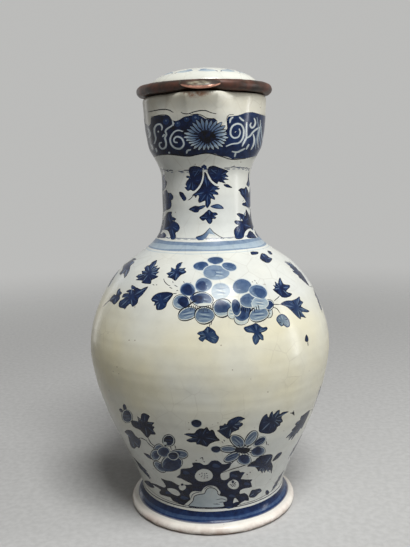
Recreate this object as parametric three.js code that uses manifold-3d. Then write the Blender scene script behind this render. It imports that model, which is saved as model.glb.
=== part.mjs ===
// A covered pharmacy pitcher of tin-glazed earthenware. A thrown jug with a pulled pouring lip
// carries a strap handle behind. Its domed earthenware lid is bound in a copper ring, which hinges
// on a copper band round the handle. Millimetres, +Z up, origin at the centre of the flat base,
// the pouring lip towards -Y and the handle towards +Y.
import * as THREE from "three";
import { mergeVertices } from "three/addons/utils/BufferGeometryUtils.js";
import Module from "manifold-3d";

const wasm = await Module();
wasm.setup();

// Jug, from the base up
const footRadius = 52.8;
const footRimHeight = 5.8;
const footRimUndercut = 1.6;
const footHeight = 14;
const waistRadius = 45.6;
const lowerBellyHeight = 92;
const bellyRadius = 74.5;
const upperBellyHeight = 51.3;
const shoulderRadius = 47.1;
const shoulderSlope = 0.64;
const shoulderSweepHeight = 35.5;
const neckRadius = 27.2;
const neckFlareHeight = 29.8;
const collarBaseRadius = 34.2;
const collarRadius = 37.2;
const collarHeight = 30.3;
const wallThickness = 5;
const floorThickness = 8;
const floorCornerRadius = 9;

// Pouring lip pulled out of the collar
const spoutProjection = 5.6;
const spoutWidth = 19;
const spoutFlankWidth = 12;
const spoutHeight = 27;

// Strap handle
const handleWidth = 19;
const handleThickness = 7.5;
const handleReach = 36;
const handleLandingHeight = 33;

// Lid and its copper ring
const lidRise = 11.2;
const lidThickness = 4.4;
const lidEdgeThickness = 2.3;
const lidEdgeWidth = 4.6;
const ringOverhang = 3.4;
const ringBeadRadius = 3.2;
const ringSheet = 1.1;
const beddingThickness = 1;
const lipLength = 6;
const lipWidth = 22;
const lipSheet = 1.2;

// Hinge, thumbpiece and handle band
const knuckleRadius = 3.2;
const knuckleLength = 6.6;
const hingeGap = 1.2;
const pinRadius = 1.2;
const pinHeadRadius = 1.9;
const pinHeadHeight = 0.8;
const leafThickness = 1.6;
const leafDrop = 4.2;
const thumbWidth = 15;
const thumbHeight = 11.5;
const thumbThickness = 2;
const thumbLean = THREE.MathUtils.degToRad(12);
const bandWidth = 10;
const bandSheet = 1.2;
const earHeight = 6.5;
const rivetRadius = 1.1;

// Clearances
const seatGap = 0.3;
const pinClearance = 0.1;
const knuckleGap = 0.3;

// Fineness of the round forms
const turns = 56;
const smallTurns = 24;
const pinTurns = 16;

const faience = new THREE.MeshStandardMaterial({ color: 0xdfe2dc, roughness: 0.18, metalness: 0 });
const copper = new THREE.MeshStandardMaterial({ color: 0x6b3a26, roughness: 0.42, metalness: 0.9 });
const putty = new THREE.MeshStandardMaterial({ color: 0xb3a88f, roughness: 0.9, metalness: 0 });

// Levels of the jug, each standing on the one below it
const bellyLevel = footHeight + lowerBellyHeight;
const shoulderLevel = bellyLevel + upperBellyHeight;
const neckLevel = shoulderLevel + shoulderSweepHeight;
const collarLevel = neckLevel + neckFlareHeight;
const rimLevel = collarLevel + collarHeight;

// The lid rests on the rim of the collar
const ringRadius = collarRadius + ringOverhang;
const ringBottom = rimLevel + seatGap;
const ringMiddle = ringBottom + ringBeadRadius;
const ringTop = ringMiddle + ringBeadRadius;
const ringBeadCentre = ringRadius - ringBeadRadius;
const bedBottom = ringBottom + ringSheet + seatGap;
const bedTop = bedBottom + beddingThickness;
const lidBottom = bedTop + seatGap;
const lidEdgeTop = lidBottom + lidEdgeThickness;
const lidEdgeRadius = ringRadius - ringSheet - beddingThickness - 2 * seatGap - ringSheet;
const lidRadius = lidEdgeRadius - lidEdgeWidth;

// The hinge line lies behind the ring, level with its bead
const hingeY = ringRadius + hingeGap + knuckleRadius;
const hingeZ = ringMiddle;
const seatZ = hingeZ - knuckleRadius - leafDrop;
const bandTop = seatZ - seatGap;
const handleTopZ = bandTop - bandSheet - seatGap - handleThickness / 2;
const pinReach = 1.5 * knuckleLength + knuckleGap;

const at = (r, z) => new THREE.Vector2(r, z);

// Geometry as a solid that can be joined and cut
function solid(geometry) {
  const bare = geometry.index ? geometry.toNonIndexed() : geometry.clone();
  bare.deleteAttribute("normal");
  bare.deleteAttribute("uv");
  const merged = mergeVertices(bare, 1e-4);
  return new wasm.Manifold(
    new wasm.Mesh({
      numProp: 3,
      vertProperties: merged.attributes.position.array,
      triVerts: new Uint32Array(merged.index.array),
    }),
  );
}

function geometryOf(body) {
  const { vertProperties, triVerts } = body.getMesh();
  const geometry = new THREE.BufferGeometry();
  geometry.setAttribute("position", new THREE.BufferAttribute(vertProperties, 3));
  geometry.setIndex(new THREE.BufferAttribute(triVerts, 1));
  geometry.computeVertexNormals();
  return geometry;
}

function piece(name, shape, material) {
  const geometry = shape.isBufferGeometry ? shape : geometryOf(shape);
  const mesh = new THREE.Mesh(geometry, material);
  mesh.name = name;
  return mesh;
}

// A profile of (radius, height) points turned about the vertical axis
function turned(points, segments = turns) {
  return new THREE.LatheGeometry(points, segments).rotateX(Math.PI / 2);
}

function box(width, depth, height, x, y, z) {
  return new THREE.BoxGeometry(width, depth, height).translate(x, y, z);
}

// A rod along X, centred on the given point
function rod(radius, length, segments, y, z) {
  return new THREE.CylinderGeometry(radius, radius, length, segments)
    .rotateZ(Math.PI / 2)
    .translate(0, y, z);
}

// A bore that leaves the stated clearance at the middle of its facets
function boreRadius(radius) {
  return (radius + pinClearance) / Math.cos(Math.PI / pinTurns);
}

// The outer outline of the jug above its foot, as five smooth stretches
function wallCurves() {
  const rise = upperBellyHeight;
  const sweep = shoulderSweepHeight;
  const lean = 19;
  return [
    new THREE.CubicBezierCurve(
      at(waistRadius, footHeight),
      at(waistRadius + 2.7, footHeight + 0.18 * lowerBellyHeight),
      at(bellyRadius, footHeight + 0.6 * lowerBellyHeight),
      at(bellyRadius, bellyLevel),
    ),
    new THREE.CubicBezierCurve(
      at(bellyRadius, bellyLevel),
      at(bellyRadius, bellyLevel + 0.2 * rise),
      at(shoulderRadius + lean, shoulderLevel - shoulderSlope * lean),
      at(shoulderRadius, shoulderLevel),
    ),
    new THREE.CubicBezierCurve(
      at(shoulderRadius, shoulderLevel),
      at(neckRadius + 0.7, shoulderLevel + shoulderSlope * (shoulderRadius - neckRadius - 0.7)),
      at(neckRadius, shoulderLevel + 0.46 * sweep),
      at(neckRadius, neckLevel),
    ),
    new THREE.CubicBezierCurve(
      at(neckRadius, neckLevel),
      at(neckRadius, neckLevel + 0.5 * neckFlareHeight),
      at(neckRadius - 1.5, neckLevel + 0.55 * neckFlareHeight),
      at(collarBaseRadius, collarLevel),
    ),
    new THREE.CubicBezierCurve(
      at(collarBaseRadius, collarLevel),
      at(collarBaseRadius + 1.4, collarLevel + 0.18 * collarHeight),
      at(collarRadius - 0.3, collarLevel + 0.5 * collarHeight),
      at(collarRadius, rimLevel - wallThickness / 2),
    ),
  ];
}

function along(curves, steps) {
  return curves.flatMap((curve, i) => curve.getPoints(steps[i]).slice(1));
}

// The foot: a flat base, a rounded rim and a hollow sweep up to the waist
function footOutline() {
  const rim = new THREE.CubicBezierCurve(
    at(footRadius - footRimUndercut, 0),
    at(footRadius + 0.5, 0.35 * footRimHeight),
    at(footRadius + 0.5, 0.85 * footRimHeight),
    at(footRadius - 0.55 * (footRadius - waistRadius), footRimHeight),
  );
  const sweep = new THREE.QuadraticBezierCurve(
    at(footRadius - 0.55 * (footRadius - waistRadius), footRimHeight),
    at(waistRadius, footRimHeight + 0.25 * (footHeight - footRimHeight)),
    at(waistRadius, footHeight),
  );
  return [...rim.getPoints(5), ...sweep.getPoints(3).slice(1)];
}

// The inside keeps the wall's thickness square to the outer surface
function insideOutline() {
  const corner = floorThickness + floorCornerRadius;
  const wall = wallCurves().flatMap((curve, i) => {
    const steps = [4, 4, 4, 3, 3][i];
    const points = [];
    for (let k = i === 4 ? 1 : 0; k < steps; k += 1) {
      const point = curve.getPoint(k / steps);
      const tangent = curve.getTangent(k / steps);
      const slope = tangent.x / tangent.y;
      points.push(at(point.x - wallThickness * Math.hypot(1, slope), point.y));
    }
    return points;
  });
  const upper = wall.filter((point) => point.y > corner + 1);
  const foot = at(upper[0].x - floorCornerRadius / 4, corner);
  const turn = new THREE.QuadraticBezierCurve(
    foot,
    at(foot.x - 2, floorThickness),
    at(foot.x - 2 - floorCornerRadius, floorThickness),
  );
  return [...upper.reverse(), ...turn.getPoints(3), at(0, floorThickness)];
}

function rimOutline() {
  const radius = wallThickness / 2;
  const points = [];
  for (let k = 1; k <= 4; k += 1) {
    const turn = (k * Math.PI) / 4;
    points.push(
      at(collarRadius - radius + radius * Math.cos(turn), rimLevel - radius + radius * Math.sin(turn)),
    );
  }
  return points;
}

// How far the pouring lip stands out of the round collar, at an angle from the front and a height
function spoutPush(angle, z) {
  const low = rimLevel - spoutHeight;
  const rise = THREE.MathUtils.clamp((z - low) / spoutHeight, 0, 1);
  const edge = spoutWidth / 2 / (collarRadius + spoutProjection);
  const flank = spoutFlankWidth / collarRadius;
  const fall = THREE.MathUtils.clamp((Math.abs(angle) - edge) / flank, 0, 1);
  return spoutProjection * rise ** 2 * (1 - fall) ** 1.5;
}

function pullSpout(geometry) {
  const position = geometry.getAttribute("position");
  for (let i = 0; i < position.count; i += 1) {
    const x = position.getX(i);
    const y = position.getY(i);
    const radius = Math.hypot(x, y);
    const push = spoutPush(Math.atan2(x, -y), position.getZ(i));
    if (radius > 0 && push > 0)
      position.setXY(i, (x * (radius + push)) / radius, (y * (radius + push)) / radius);
  }
  return geometry;
}

function jugBody() {
  const outline = [
    at(0, 0),
    ...footOutline(),
    ...along(wallCurves(), [7, 5, 5, 4, 3]),
    ...rimOutline(),
    ...insideOutline(),
  ];
  return pullSpout(turned(outline));
}

// The jug's outer form, filled and grown by the seat gap, which fits the handle's ends to the jug
function jugEnvelope() {
  const wall = along(wallCurves(), [7, 5, 5, 4, 3]).map((point) => at(point.x + seatGap, point.y));
  const top = at(collarRadius + seatGap, rimLevel);
  return solid(turned([at(0, footHeight), at(waistRadius, footHeight), ...wall, top, at(0, rimLevel)]));
}

// A strap section with round edges, as a shape across (x) and through (y)
function strapSection(width, thickness) {
  const shape = new THREE.Shape();
  const half = (width - thickness) / 2;
  shape.moveTo(-half, -thickness / 2);
  shape.lineTo(half, -thickness / 2);
  shape.absarc(half, 0, thickness / 2, -Math.PI / 2, Math.PI / 2, false);
  shape.lineTo(-half, thickness / 2);
  shape.absarc(-half, 0, thickness / 2, Math.PI / 2, (3 * Math.PI) / 2, false);
  return shape;
}

function radiusAt(level) {
  const points = along(wallCurves(), [24, 24, 24, 24, 24]);
  const next = points.findIndex((point) => point.y >= level);
  return points[next].x;
}

// The handle leaves the collar level, bends over behind the hinge and comes in on the shoulder
function handlePath() {
  const place = (y, z) => new THREE.Vector3(0, y, z);
  const bendY = hingeY + bandWidth / 2 + 2;
  const outY = hingeY + handleReach;
  const landZ = bellyLevel + handleLandingHeight;
  const landY = radiusAt(landZ);
  const drop = handleTopZ - landZ;
  const path = new THREE.CurvePath();
  path.add(new THREE.LineCurve3(place(neckRadius, handleTopZ), place(bendY, handleTopZ)));
  path.add(
    new THREE.CubicBezierCurve3(
      place(bendY, handleTopZ),
      place(bendY + 0.6 * (outY - bendY), handleTopZ),
      place(outY, handleTopZ - 0.12 * drop),
      place(outY, handleTopZ - 0.36 * drop),
    ),
  );
  path.add(
    new THREE.CubicBezierCurve3(
      place(outY, handleTopZ - 0.36 * drop),
      place(outY, handleTopZ - 0.66 * drop),
      place(landY + 10, landZ + 11),
      place(landY - wallThickness, landZ - 3),
    ),
  );
  return path;
}

function handle() {
  const lying = strapSection(handleWidth, handleThickness).getPoints(4);
  const standing = new THREE.Shape(lying.slice(1).map((point) => at(-point.y, point.x)));
  const strap = new THREE.ExtrudeGeometry(standing, { steps: 28, extrudePath: handlePath() });
  return solid(strap).subtract(jugEnvelope());
}

// The lid: a flattened dome with a thin flat edge, hollow beneath
function lidDome() {
  const bulge = 2 / 2.3;
  const outline = [];
  for (let k = 0; k <= 8; k += 1) {
    const turn = ((8 - k) * Math.PI) / 16;
    outline.push(at(lidRadius * Math.sin(turn) ** bulge, lidEdgeTop + lidRise * Math.cos(turn)));
  }
  const hollowRadius = lidRadius - lidThickness;
  const hollowRise = lidRise + lidEdgeThickness - lidThickness;
  const hollow = [];
  for (let k = 0; k <= 5; k += 1) {
    const turn = (k * Math.PI) / 10;
    hollow.push(at(hollowRadius * Math.sin(turn) ** bulge, lidBottom + hollowRise * Math.cos(turn)));
  }
  return turned([
    ...hollow,
    at(lidEdgeRadius, lidBottom),
    at(lidEdgeRadius, lidEdgeTop),
    ...outline,
  ]);
}

// The half-round outside of the ring's bead, from its bottom to its top, grown by a margin
function beadOutline(margin) {
  const radius = ringBeadRadius + margin;
  const points = [];
  for (let k = 0; k <= 6; k += 1) {
    const turn = -Math.PI / 2 + (k * Math.PI) / 6;
    points.push(at(ringBeadCentre + radius * Math.cos(turn), ringMiddle + radius * Math.sin(turn)));
  }
  return points;
}

// The copper ring: a bead of sheet rolled round the lid's edge, open to the inside
function lidRing() {
  const inner = lidRadius + 2 * seatGap;
  const lower = lidRadius - 1;
  const channel = ringRadius - 2 * ringSheet;
  return turned([
    at(lower, ringBottom),
    ...beadOutline(0),
    at(inner, ringTop),
    at(inner, lidEdgeTop + seatGap),
    at(channel, lidEdgeTop + seatGap),
    at(channel, ringBottom + ringSheet),
    at(lower, ringBottom + ringSheet),
    at(lower, ringBottom),
  ]);
}

// Putty that beds the lid's edge in the ring
function lidBedding() {
  const outer = ringRadius - 2 * ringSheet - seatGap;
  return turned([
    at(lidRadius - 0.5, bedBottom),
    at(outer, bedBottom),
    at(outer, bedTop),
    at(lidRadius - 0.5, bedTop),
    at(lidRadius - 0.5, bedBottom),
  ]);
}

// A small hood of sheet copper on the front of the ring, over the pouring lip
function spoutHood() {
  const dome = (inset) =>
    solid(
      new THREE.SphereGeometry(1, smallTurns, 12)
        .rotateX(Math.PI / 2)
        .scale(lipWidth / 2 - inset, lipLength + 2 * ringSheet - inset, ringBeadRadius + 1.6 - inset)
        .translate(0, -ringRadius + 2 * ringSheet, ringMiddle - 1.8),
    );
  const outline = beadOutline(seatGap);
  const ring = solid(turned([at(0, outline[0].y), ...outline, at(0, outline.at(-1).y)]));
  const depth = 2 * ringBeadRadius;
  const below = solid(box(2 * lipWidth, 2 * ringRadius, depth, 0, -ringRadius, ringBottom + seatGap - depth / 2));
  return dome(0).subtract(dome(lipSheet)).subtract(ring).subtract(below);
}

// The lid's leaf: a short strap over the bead, with the middle knuckle
function lidLeaf() {
  const strapFront = lidRadius + 3 * seatGap;
  const strapZ = ringTop + seatGap + leafThickness / 2;
  const strapTop = ringTop + seatGap + leafThickness;
  const strap = box(
    knuckleLength,
    hingeY + knuckleRadius / 2 - strapFront,
    leafThickness,
    0,
    (hingeY + knuckleRadius / 2 + strapFront) / 2,
    strapZ,
  );
  const web = box(knuckleLength, knuckleRadius, strapTop - hingeZ, 0, hingeY, (strapTop + hingeZ) / 2);
  const barrel = rod(knuckleRadius, knuckleLength, smallTurns, hingeY, hingeZ);
  const bore = rod(boreRadius(pinRadius), 2 * knuckleLength, pinTurns, hingeY, hingeZ);
  return solid(strap).add(solid(web)).add(solid(barrel)).subtract(solid(bore));
}

// The fixed leaf: a foot plate on the handle band, with the two outer knuckles
function handleLeaf() {
  const width = 2 * pinReach;
  const plate = box(width, bandWidth, leafThickness, 0, hingeY, seatZ + leafThickness / 2);
  const webDepth = 1.5 * knuckleRadius;
  const web = box(width, webDepth, hingeZ - seatZ, 0, hingeY + knuckleRadius - webDepth / 2, (hingeZ + seatZ) / 2);
  const barrel = rod(knuckleRadius, width, smallTurns, hingeY, hingeZ);
  const notchTop = hingeZ + 2 * knuckleRadius;
  const notchBottom = seatZ + leafThickness;
  const notch = box(
    knuckleLength + 2 * knuckleGap,
    4 * knuckleRadius,
    notchTop - notchBottom,
    0,
    hingeY,
    (notchTop + notchBottom) / 2,
  );
  const bore = rod(boreRadius(pinRadius), 2 * width, pinTurns, hingeY, hingeZ);
  return solid(plate).add(solid(web)).add(solid(barrel)).subtract(solid(notch)).subtract(solid(bore));
}

// A pin or rivet along X, with a head burred over at each end
function headed(radius, reach, headRadius, headHeight, y, z) {
  return new THREE.LatheGeometry(
    [
      at(0, -reach - headHeight),
      at(0.7 * headRadius, -reach - headHeight),
      at(headRadius, -reach - 0.3 * headHeight),
      at(headRadius, -reach),
      at(radius, -reach),
      at(radius, reach),
      at(headRadius, reach),
      at(headRadius, reach + 0.3 * headHeight),
      at(0.7 * headRadius, reach + headHeight),
      at(0, reach + headHeight),
    ],
    pinTurns,
  )
    .rotateZ(Math.PI / 2)
    .translate(0, y, z);
}

function hingePin() {
  return headed(pinRadius, pinReach + knuckleGap, pinHeadRadius, pinHeadHeight, hingeY, hingeZ);
}

// The thumbpiece: a lobed plate that stands on the lid's leaf and leans back a little
function thumbpiece() {
  const lobe = thumbWidth / 4;
  const shape = new THREE.Shape();
  shape.moveTo(-0.24 * thumbWidth, 0);
  shape.lineTo(0.24 * thumbWidth, 0);
  shape.quadraticCurveTo(0.2 * thumbWidth, 0.3 * thumbHeight, 0.4 * thumbWidth, 0.42 * thumbHeight);
  shape.bezierCurveTo(
    0.58 * thumbWidth,
    0.6 * thumbHeight,
    0.42 * thumbWidth,
    0.95 * thumbHeight,
    lobe,
    0.86 * thumbHeight,
  );
  shape.quadraticCurveTo(0, 1.14 * thumbHeight, -lobe, 0.86 * thumbHeight);
  shape.bezierCurveTo(
    -0.42 * thumbWidth,
    0.95 * thumbHeight,
    -0.58 * thumbWidth,
    0.6 * thumbHeight,
    -0.4 * thumbWidth,
    0.42 * thumbHeight,
  );
  shape.quadraticCurveTo(-0.2 * thumbWidth, 0.3 * thumbHeight, -0.24 * thumbWidth, 0);
  const footZ = ringTop + 2 * seatGap + leafThickness;
  return new THREE.ExtrudeGeometry(shape, { depth: thumbThickness, curveSegments: 5, bevelEnabled: false })
    .rotateX(Math.PI / 2)
    .translate(0, thumbThickness, 0)
    .rotateX(-thumbLean)
    .translate(0, hingeY - knuckleRadius, footZ + thumbThickness * Math.sin(thumbLean));
}

// The band: a copper strip bent round the handle, its two ends turned down as ears
function handleBand() {
  const hug = handleThickness + 2 * seatGap;
  const full = hug + 2 * bandSheet;
  const loop = strapSection(handleWidth + 2 * seatGap + 2 * bandSheet, full);
  loop.holes.push(strapSection(handleWidth + 2 * seatGap, hug));
  const strip = new THREE.ExtrudeGeometry(loop, { depth: bandWidth, curveSegments: 5, bevelEnabled: false })
    .rotateX(Math.PI / 2)
    .translate(0, hingeY + bandWidth / 2, handleTopZ);
  const earTop = handleTopZ - hug / 2 - bandSheet / 2;
  const earBottom = handleTopZ - full / 2 - earHeight;
  const ears = box(
    2 * bandSheet + 2 * seatGap,
    bandWidth,
    earTop - earBottom,
    0,
    hingeY,
    (earTop + earBottom) / 2,
  );
  const slitTop = handleTopZ;
  const slitBottom = earBottom - bandSheet;
  const slit = box(
    2 * seatGap,
    2 * bandWidth,
    slitTop - slitBottom,
    0,
    hingeY,
    (slitTop + slitBottom) / 2,
  );
  const hole = rod(boreRadius(rivetRadius), 8 * bandSheet, pinTurns, hingeY, rivetLevel());
  return solid(strip).add(solid(ears)).subtract(solid(slit)).subtract(solid(hole));
}

function rivetLevel() {
  return handleTopZ - handleThickness / 2 - seatGap - bandSheet - earHeight / 2;
}

function bandRivet() {
  const reach = bandSheet + 1.5 * seatGap;
  return headed(rivetRadius, reach, 1.8 * rivetRadius, 0.8 * rivetRadius, hingeY, rivetLevel());
}

const jug = new THREE.Group();
jug.add(piece("jug_body", jugBody(), faience));
jug.add(piece("handle", handle(), faience));
jug.add(piece("handle_band", handleBand(), copper));
jug.add(piece("band_rivet", bandRivet(), copper));
jug.add(piece("handle_hinge_leaf", handleLeaf(), copper));
jug.add(piece("hinge_pin", hingePin(), copper));

const lid = new THREE.Group();
lid.add(piece("lid_dome", lidDome(), faience));
lid.add(piece("lid_ring", lidRing(), copper));
lid.add(piece("lid_bedding", lidBedding(), putty));
lid.add(piece("spout_hood", spoutHood(), copper));
lid.add(piece("lid_hinge_leaf", lidLeaf(), copper));
lid.add(piece("thumbpiece", thumbpiece(), copper));

const pitcher = new THREE.Group();
pitcher.add(jug, lid);

export default pitcher;
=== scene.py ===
import math

import bmesh
import bpy
import numpy as np
from mathutils import Matrix, Vector
from mathutils.geometry import delaunay_2d_cdt, tessellate_polygon


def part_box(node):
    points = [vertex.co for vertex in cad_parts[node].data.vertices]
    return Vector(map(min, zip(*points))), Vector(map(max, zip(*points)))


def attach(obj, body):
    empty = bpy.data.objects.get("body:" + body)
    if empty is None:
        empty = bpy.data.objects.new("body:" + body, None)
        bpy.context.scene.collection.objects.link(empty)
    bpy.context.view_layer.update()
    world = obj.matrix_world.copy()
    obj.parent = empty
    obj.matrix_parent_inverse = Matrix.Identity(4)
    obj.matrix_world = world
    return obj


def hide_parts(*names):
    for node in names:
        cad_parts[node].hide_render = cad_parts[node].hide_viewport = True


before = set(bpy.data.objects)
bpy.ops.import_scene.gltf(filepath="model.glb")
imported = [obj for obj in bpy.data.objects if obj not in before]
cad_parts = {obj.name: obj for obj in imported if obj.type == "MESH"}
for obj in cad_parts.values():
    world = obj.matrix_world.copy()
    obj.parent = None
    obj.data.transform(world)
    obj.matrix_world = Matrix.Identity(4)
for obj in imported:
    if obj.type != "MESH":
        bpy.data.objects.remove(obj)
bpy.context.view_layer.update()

# The jug's form. Thrown in one piece of buff earthenware: a turned foot, an ovoid belly, a narrow
# neck and a wide collar, with a pouring lip pulled out of the collar by hand while it was soft.
MM = 0.001
JUG_WALL = 5.0
JUG_FLOOR = 8.0
FOOT_EDGE = 51.2
RIM_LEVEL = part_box("jug_body")[1][2] / MM
SPOUT_PROJECTION = 5.6
SPOUT_DEPTH = 27.0
JUG_OUTSIDE = [
    [(FOOT_EDGE, 0.0), (53.1, 2.0), (53.1, 4.9), (48.9, 5.8)],
    [(48.9, 5.8), (46.4, 7.0), (45.6, 10.0), (45.6, 14.0)],
    [(45.6, 14.0), (48.3, 30.6), (74.5, 69.2), (74.5, 106.0)],
    [(74.5, 106.0), (74.5, 116.3), (66.1, 145.1), (47.1, 157.3)],
    [(47.1, 157.3), (27.9, 169.6), (27.2, 173.6), (27.2, 192.8)],
    [(27.2, 192.8), (27.2, 207.7), (25.7, 209.2), (34.2, 222.6)],
    [(34.2, 222.6), (35.6, 228.1), (36.9, 237.8), (37.2, RIM_LEVEL - JUG_WALL / 2)],
]


def bezier(corners, steps=60):
    """Points of a cubic curve, without its first one."""
    a, b, c, d = (np.array(corner, float) for corner in corners)
    t = (np.arange(steps) + 1.0)[:, None] / steps
    return (1 - t) ** 3 * a + 3 * (1 - t) ** 2 * t * b + 3 * (1 - t) * t**2 * c + t**3 * d


def jug_section():
    """The section of the jug: base, outside, rounded rim, inside and inner floor."""
    outside = np.vstack([bezier(stretch) for stretch in JUG_OUTSIDE])
    half = JUG_WALL / 2
    turn = np.linspace(0, np.pi, 24)[1:]
    top = outside[-1]
    rim = np.column_stack([top[0] - half + half * np.cos(turn), top[1] + half * np.sin(turn)])
    slope = np.gradient(outside[:, 0]) / np.maximum(np.gradient(outside[:, 1]), 0.02)
    inside = np.column_stack([outside[:, 0] - JUG_WALL * np.hypot(1, slope), outside[:, 1]])
    inside = inside[(outside[:, 1] > 20) & (outside[:, 1] < top[1] - 1)][::-1]
    r = inside[-1][0]
    corner = [inside[-1], (r - 2, JUG_FLOOR + 4), (r - 5, JUG_FLOOR), (r - 12, JUG_FLOOR)]
    base, floor = [(0.0, 0.0), (FOOT_EDGE, 0.0)], [(0.0, JUG_FLOOR)]
    return np.vstack([base, outside, rim, inside, bezier(corner), floor])


def eased(values, reach, weights):
    """Values smoothed along a run, mirrored through the points at its ends."""
    before = 2 * values[0] - values[reach:0:-1]
    after = 2 * values[-1] - values[-2 : -reach - 2 : -1]
    return np.convolve(np.concatenate([before, values, after]), weights, mode="valid")


class TurnedForm:
    """A thrown piece unrolled flat: x is its angle times a fixed radius, y the run along its section."""

    def __init__(self, section, unrolled, easing, shape):
        spacing = 0.25
        length = np.concatenate([[0], np.cumsum(np.hypot(*np.diff(section, axis=0).T))])
        self.run = np.append(np.arange(0, length[-1], spacing), length[-1])
        reach = int(3 * easing / spacing)
        weights = np.exp(-0.5 * (np.arange(-reach, reach + 1) * spacing / easing) ** 2)
        weights /= weights.sum()
        self.radius, self.height = (
            eased(np.interp(self.run, length, section[:, k]), reach, weights) for k in (0, 1)
        )
        self.radius[[0, -1]] = 0
        self.unrolled = unrolled
        self.shape = shape
        self.half_width = math.pi * unrolled
        self.measure = self.height
        self.outside = slice(np.argmax(self.radius > 0.98 * section[1][0]), np.argmax(self.height) + 1)

    def stretch(self, y):
        """Millimetres round the piece for each unrolled millimetre."""
        return np.maximum(np.interp(y, self.run, self.radius), 3.0) / self.unrolled

    def flat(self, angle, height):
        """Unrolled place of an angle in degrees and a height, or the form's own measure, on the outside."""
        run = np.interp(height, self.measure[self.outside], self.run[self.outside])
        return np.column_stack([np.radians(angle) * self.unrolled + 0 * run, run + 0 * np.asarray(angle)])

    def place(self, flat):
        """Where unrolled points lie on the piece, in metres."""
        angle = flat[:, 0] / self.unrolled
        radius = np.interp(flat[:, 1], self.run, self.radius)
        height = np.interp(flat[:, 1], self.run, self.height)
        within = (angle + math.pi) % (2 * math.pi) - math.pi
        radius, height = self.shape(within, radius, height, flat[:, 1])
        return MM * np.column_stack([radius * np.sin(angle), -radius * np.cos(angle), height])


def spout_push(angle, height):
    """How far the pouring lip stands out of the round collar: crisp on its right, soft on its left."""
    rise = np.clip((height - (RIM_LEVEL - SPOUT_DEPTH)) / SPOUT_DEPTH, 0, 1) ** 2
    flat_half = np.where(angle > 0, 0.222, 0.2)
    flank = np.where(angle > 0, 0.3, 0.42)
    fall = np.clip((np.abs(angle) - flat_half) / flank, 0, 1)
    pinch = 0.7 * np.exp(-(((np.abs(angle) - 0.62) / 0.16) ** 2))
    return rise * (SPOUT_PROJECTION * (1 - fall) ** 1.6 - pinch)


def thrown_shape(angle, radius, height, run):
    """The jug's outline with the potter's rings, a little sway, the worn foot and the pulled lip."""
    outer = np.clip((run - FOOT_EDGE - 4) / 8, 0, 1) * np.clip((rim_run - run) / 6, 0, 1)
    rings = 0.04 * np.sin(height / 1.15 + 0.5 * np.sin(angle)) + 0.06 * np.sin(height / 3.1 + 1)
    sway = 0.12 * np.cos(2 * angle - 1.1) + 0.07 * np.cos(3 * angle + height / 40)
    chips = np.sin(11 * angle) * np.sin(23 * angle + 1) * np.sin(5 * angle + 2)
    worn = np.clip(1.8 - height, 0, 1.8) / 1.8 * np.clip(radius - 48, 0, 3) / 3
    radius = radius + outer * (rings + sway - 0.3) - 0.5 * worn * (1 + 1.2 * chips)
    push = spout_push(angle, height) * (radius > 20)
    return radius + push, height


jug_form = TurnedForm(jug_section(), 60.0, 0.7, thrown_shape)
rim_run = jug_form.run[np.argmax(jug_form.height)]


# The painting. Cobalt oxide brushed on the raw tin glaze before the glaze firing: pale washes first,
# then dark leaves and outlines. Ink runs from 0, bare glaze, over 1, navy, to 1.3, black trek lines.
def smooth_path(points, steps, closed=False):
    """A soft curve through points, as a painter's hand joins them."""
    points = np.asarray(points, float)
    if closed:
        before, after = points[-1:], points[:2]
    else:
        before, after = 2 * points[:1] - points[1:2], 2 * points[-1:] - points[-2:-1]
    knots = np.vstack([before, points, after])
    t = np.arange(steps)[:, None] / steps
    path = []
    for a, b, c, d in zip(knots[:-3], knots[1:-2], knots[2:-1], knots[3:]):
        bend, swing = 2 * a - 5 * b + 4 * c - d, 3 * b - a - 3 * c + d
        path.append(0.5 * (2 * b + (c - a) * t + bend * t**2 + swing * t**3))
    path = np.vstack(path)
    return path if closed else np.vstack([path, points[-1:]])


def hand_line(places, steps):
    """A line through places: straight between two of them, a soft curve through more."""
    places = np.asarray(places, float)
    if len(places) > 2:
        return smooth_path(places, steps)
    return places[0] + np.linspace(0, 1, steps)[:, None] * (places[1] - places[0])


def ribbon(path, width, taper=0.0, belly=0.0):
    """The outline of a brush stroke: its width thins by taper to both ends, or swells by belly."""
    path = np.asarray(path, float)
    way = np.gradient(path, axis=0)
    way /= np.maximum(np.hypot(*way.T), 1e-9)[:, None]
    side = np.column_stack([-way[:, 1], way[:, 0]])
    t = np.linspace(0, 1, len(path))
    swell = (1 - taper) + taper * np.sin(np.pi * t) ** 0.6 + belly * np.sin(np.pi * t)
    half = (0.5 * width * np.maximum(swell, 0.08))[:, None]
    return np.vstack([path + side * half, (path - side * half)[::-1]])


def turned(points, angle):
    """Points turned round the origin by degrees."""
    c, s = math.cos(math.radians(angle)), math.sin(math.radians(angle))
    return points @ np.array([[c, s], [-s, c]])


def oval(across, up, turn=0.0, wobble=0.03, count=28):
    """A hand-drawn oval round the origin, turned by degrees."""
    t = np.linspace(0, 2 * math.pi, count, endpoint=False)
    uneven = 1 + wobble * (np.sin(2 * t + across) + np.sin(3 * t + up))
    return turned(np.column_stack([across * uneven * np.cos(t), up * uneven * np.sin(t)]), turn)


def blade_point(length, width, widest, turn, share):
    """A place on a leaf's blade: turn runs from its tip round both sides, share out from its heart."""
    reach = length * (1 - widest) if abs(turn) < math.pi / 2 else length * widest
    return (length * widest + share * reach * math.cos(turn), share * width * math.sin(turn))


def finger_turns(lobes, widest):
    """The turns at which a leaf's fingers stand: its tip, and the same number down each side."""
    sweep = math.radians(112 - 210 * max(widest - 0.42, 0))
    return [sweep * k / lobes for k in range(-lobes, lobes + 1)]


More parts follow.
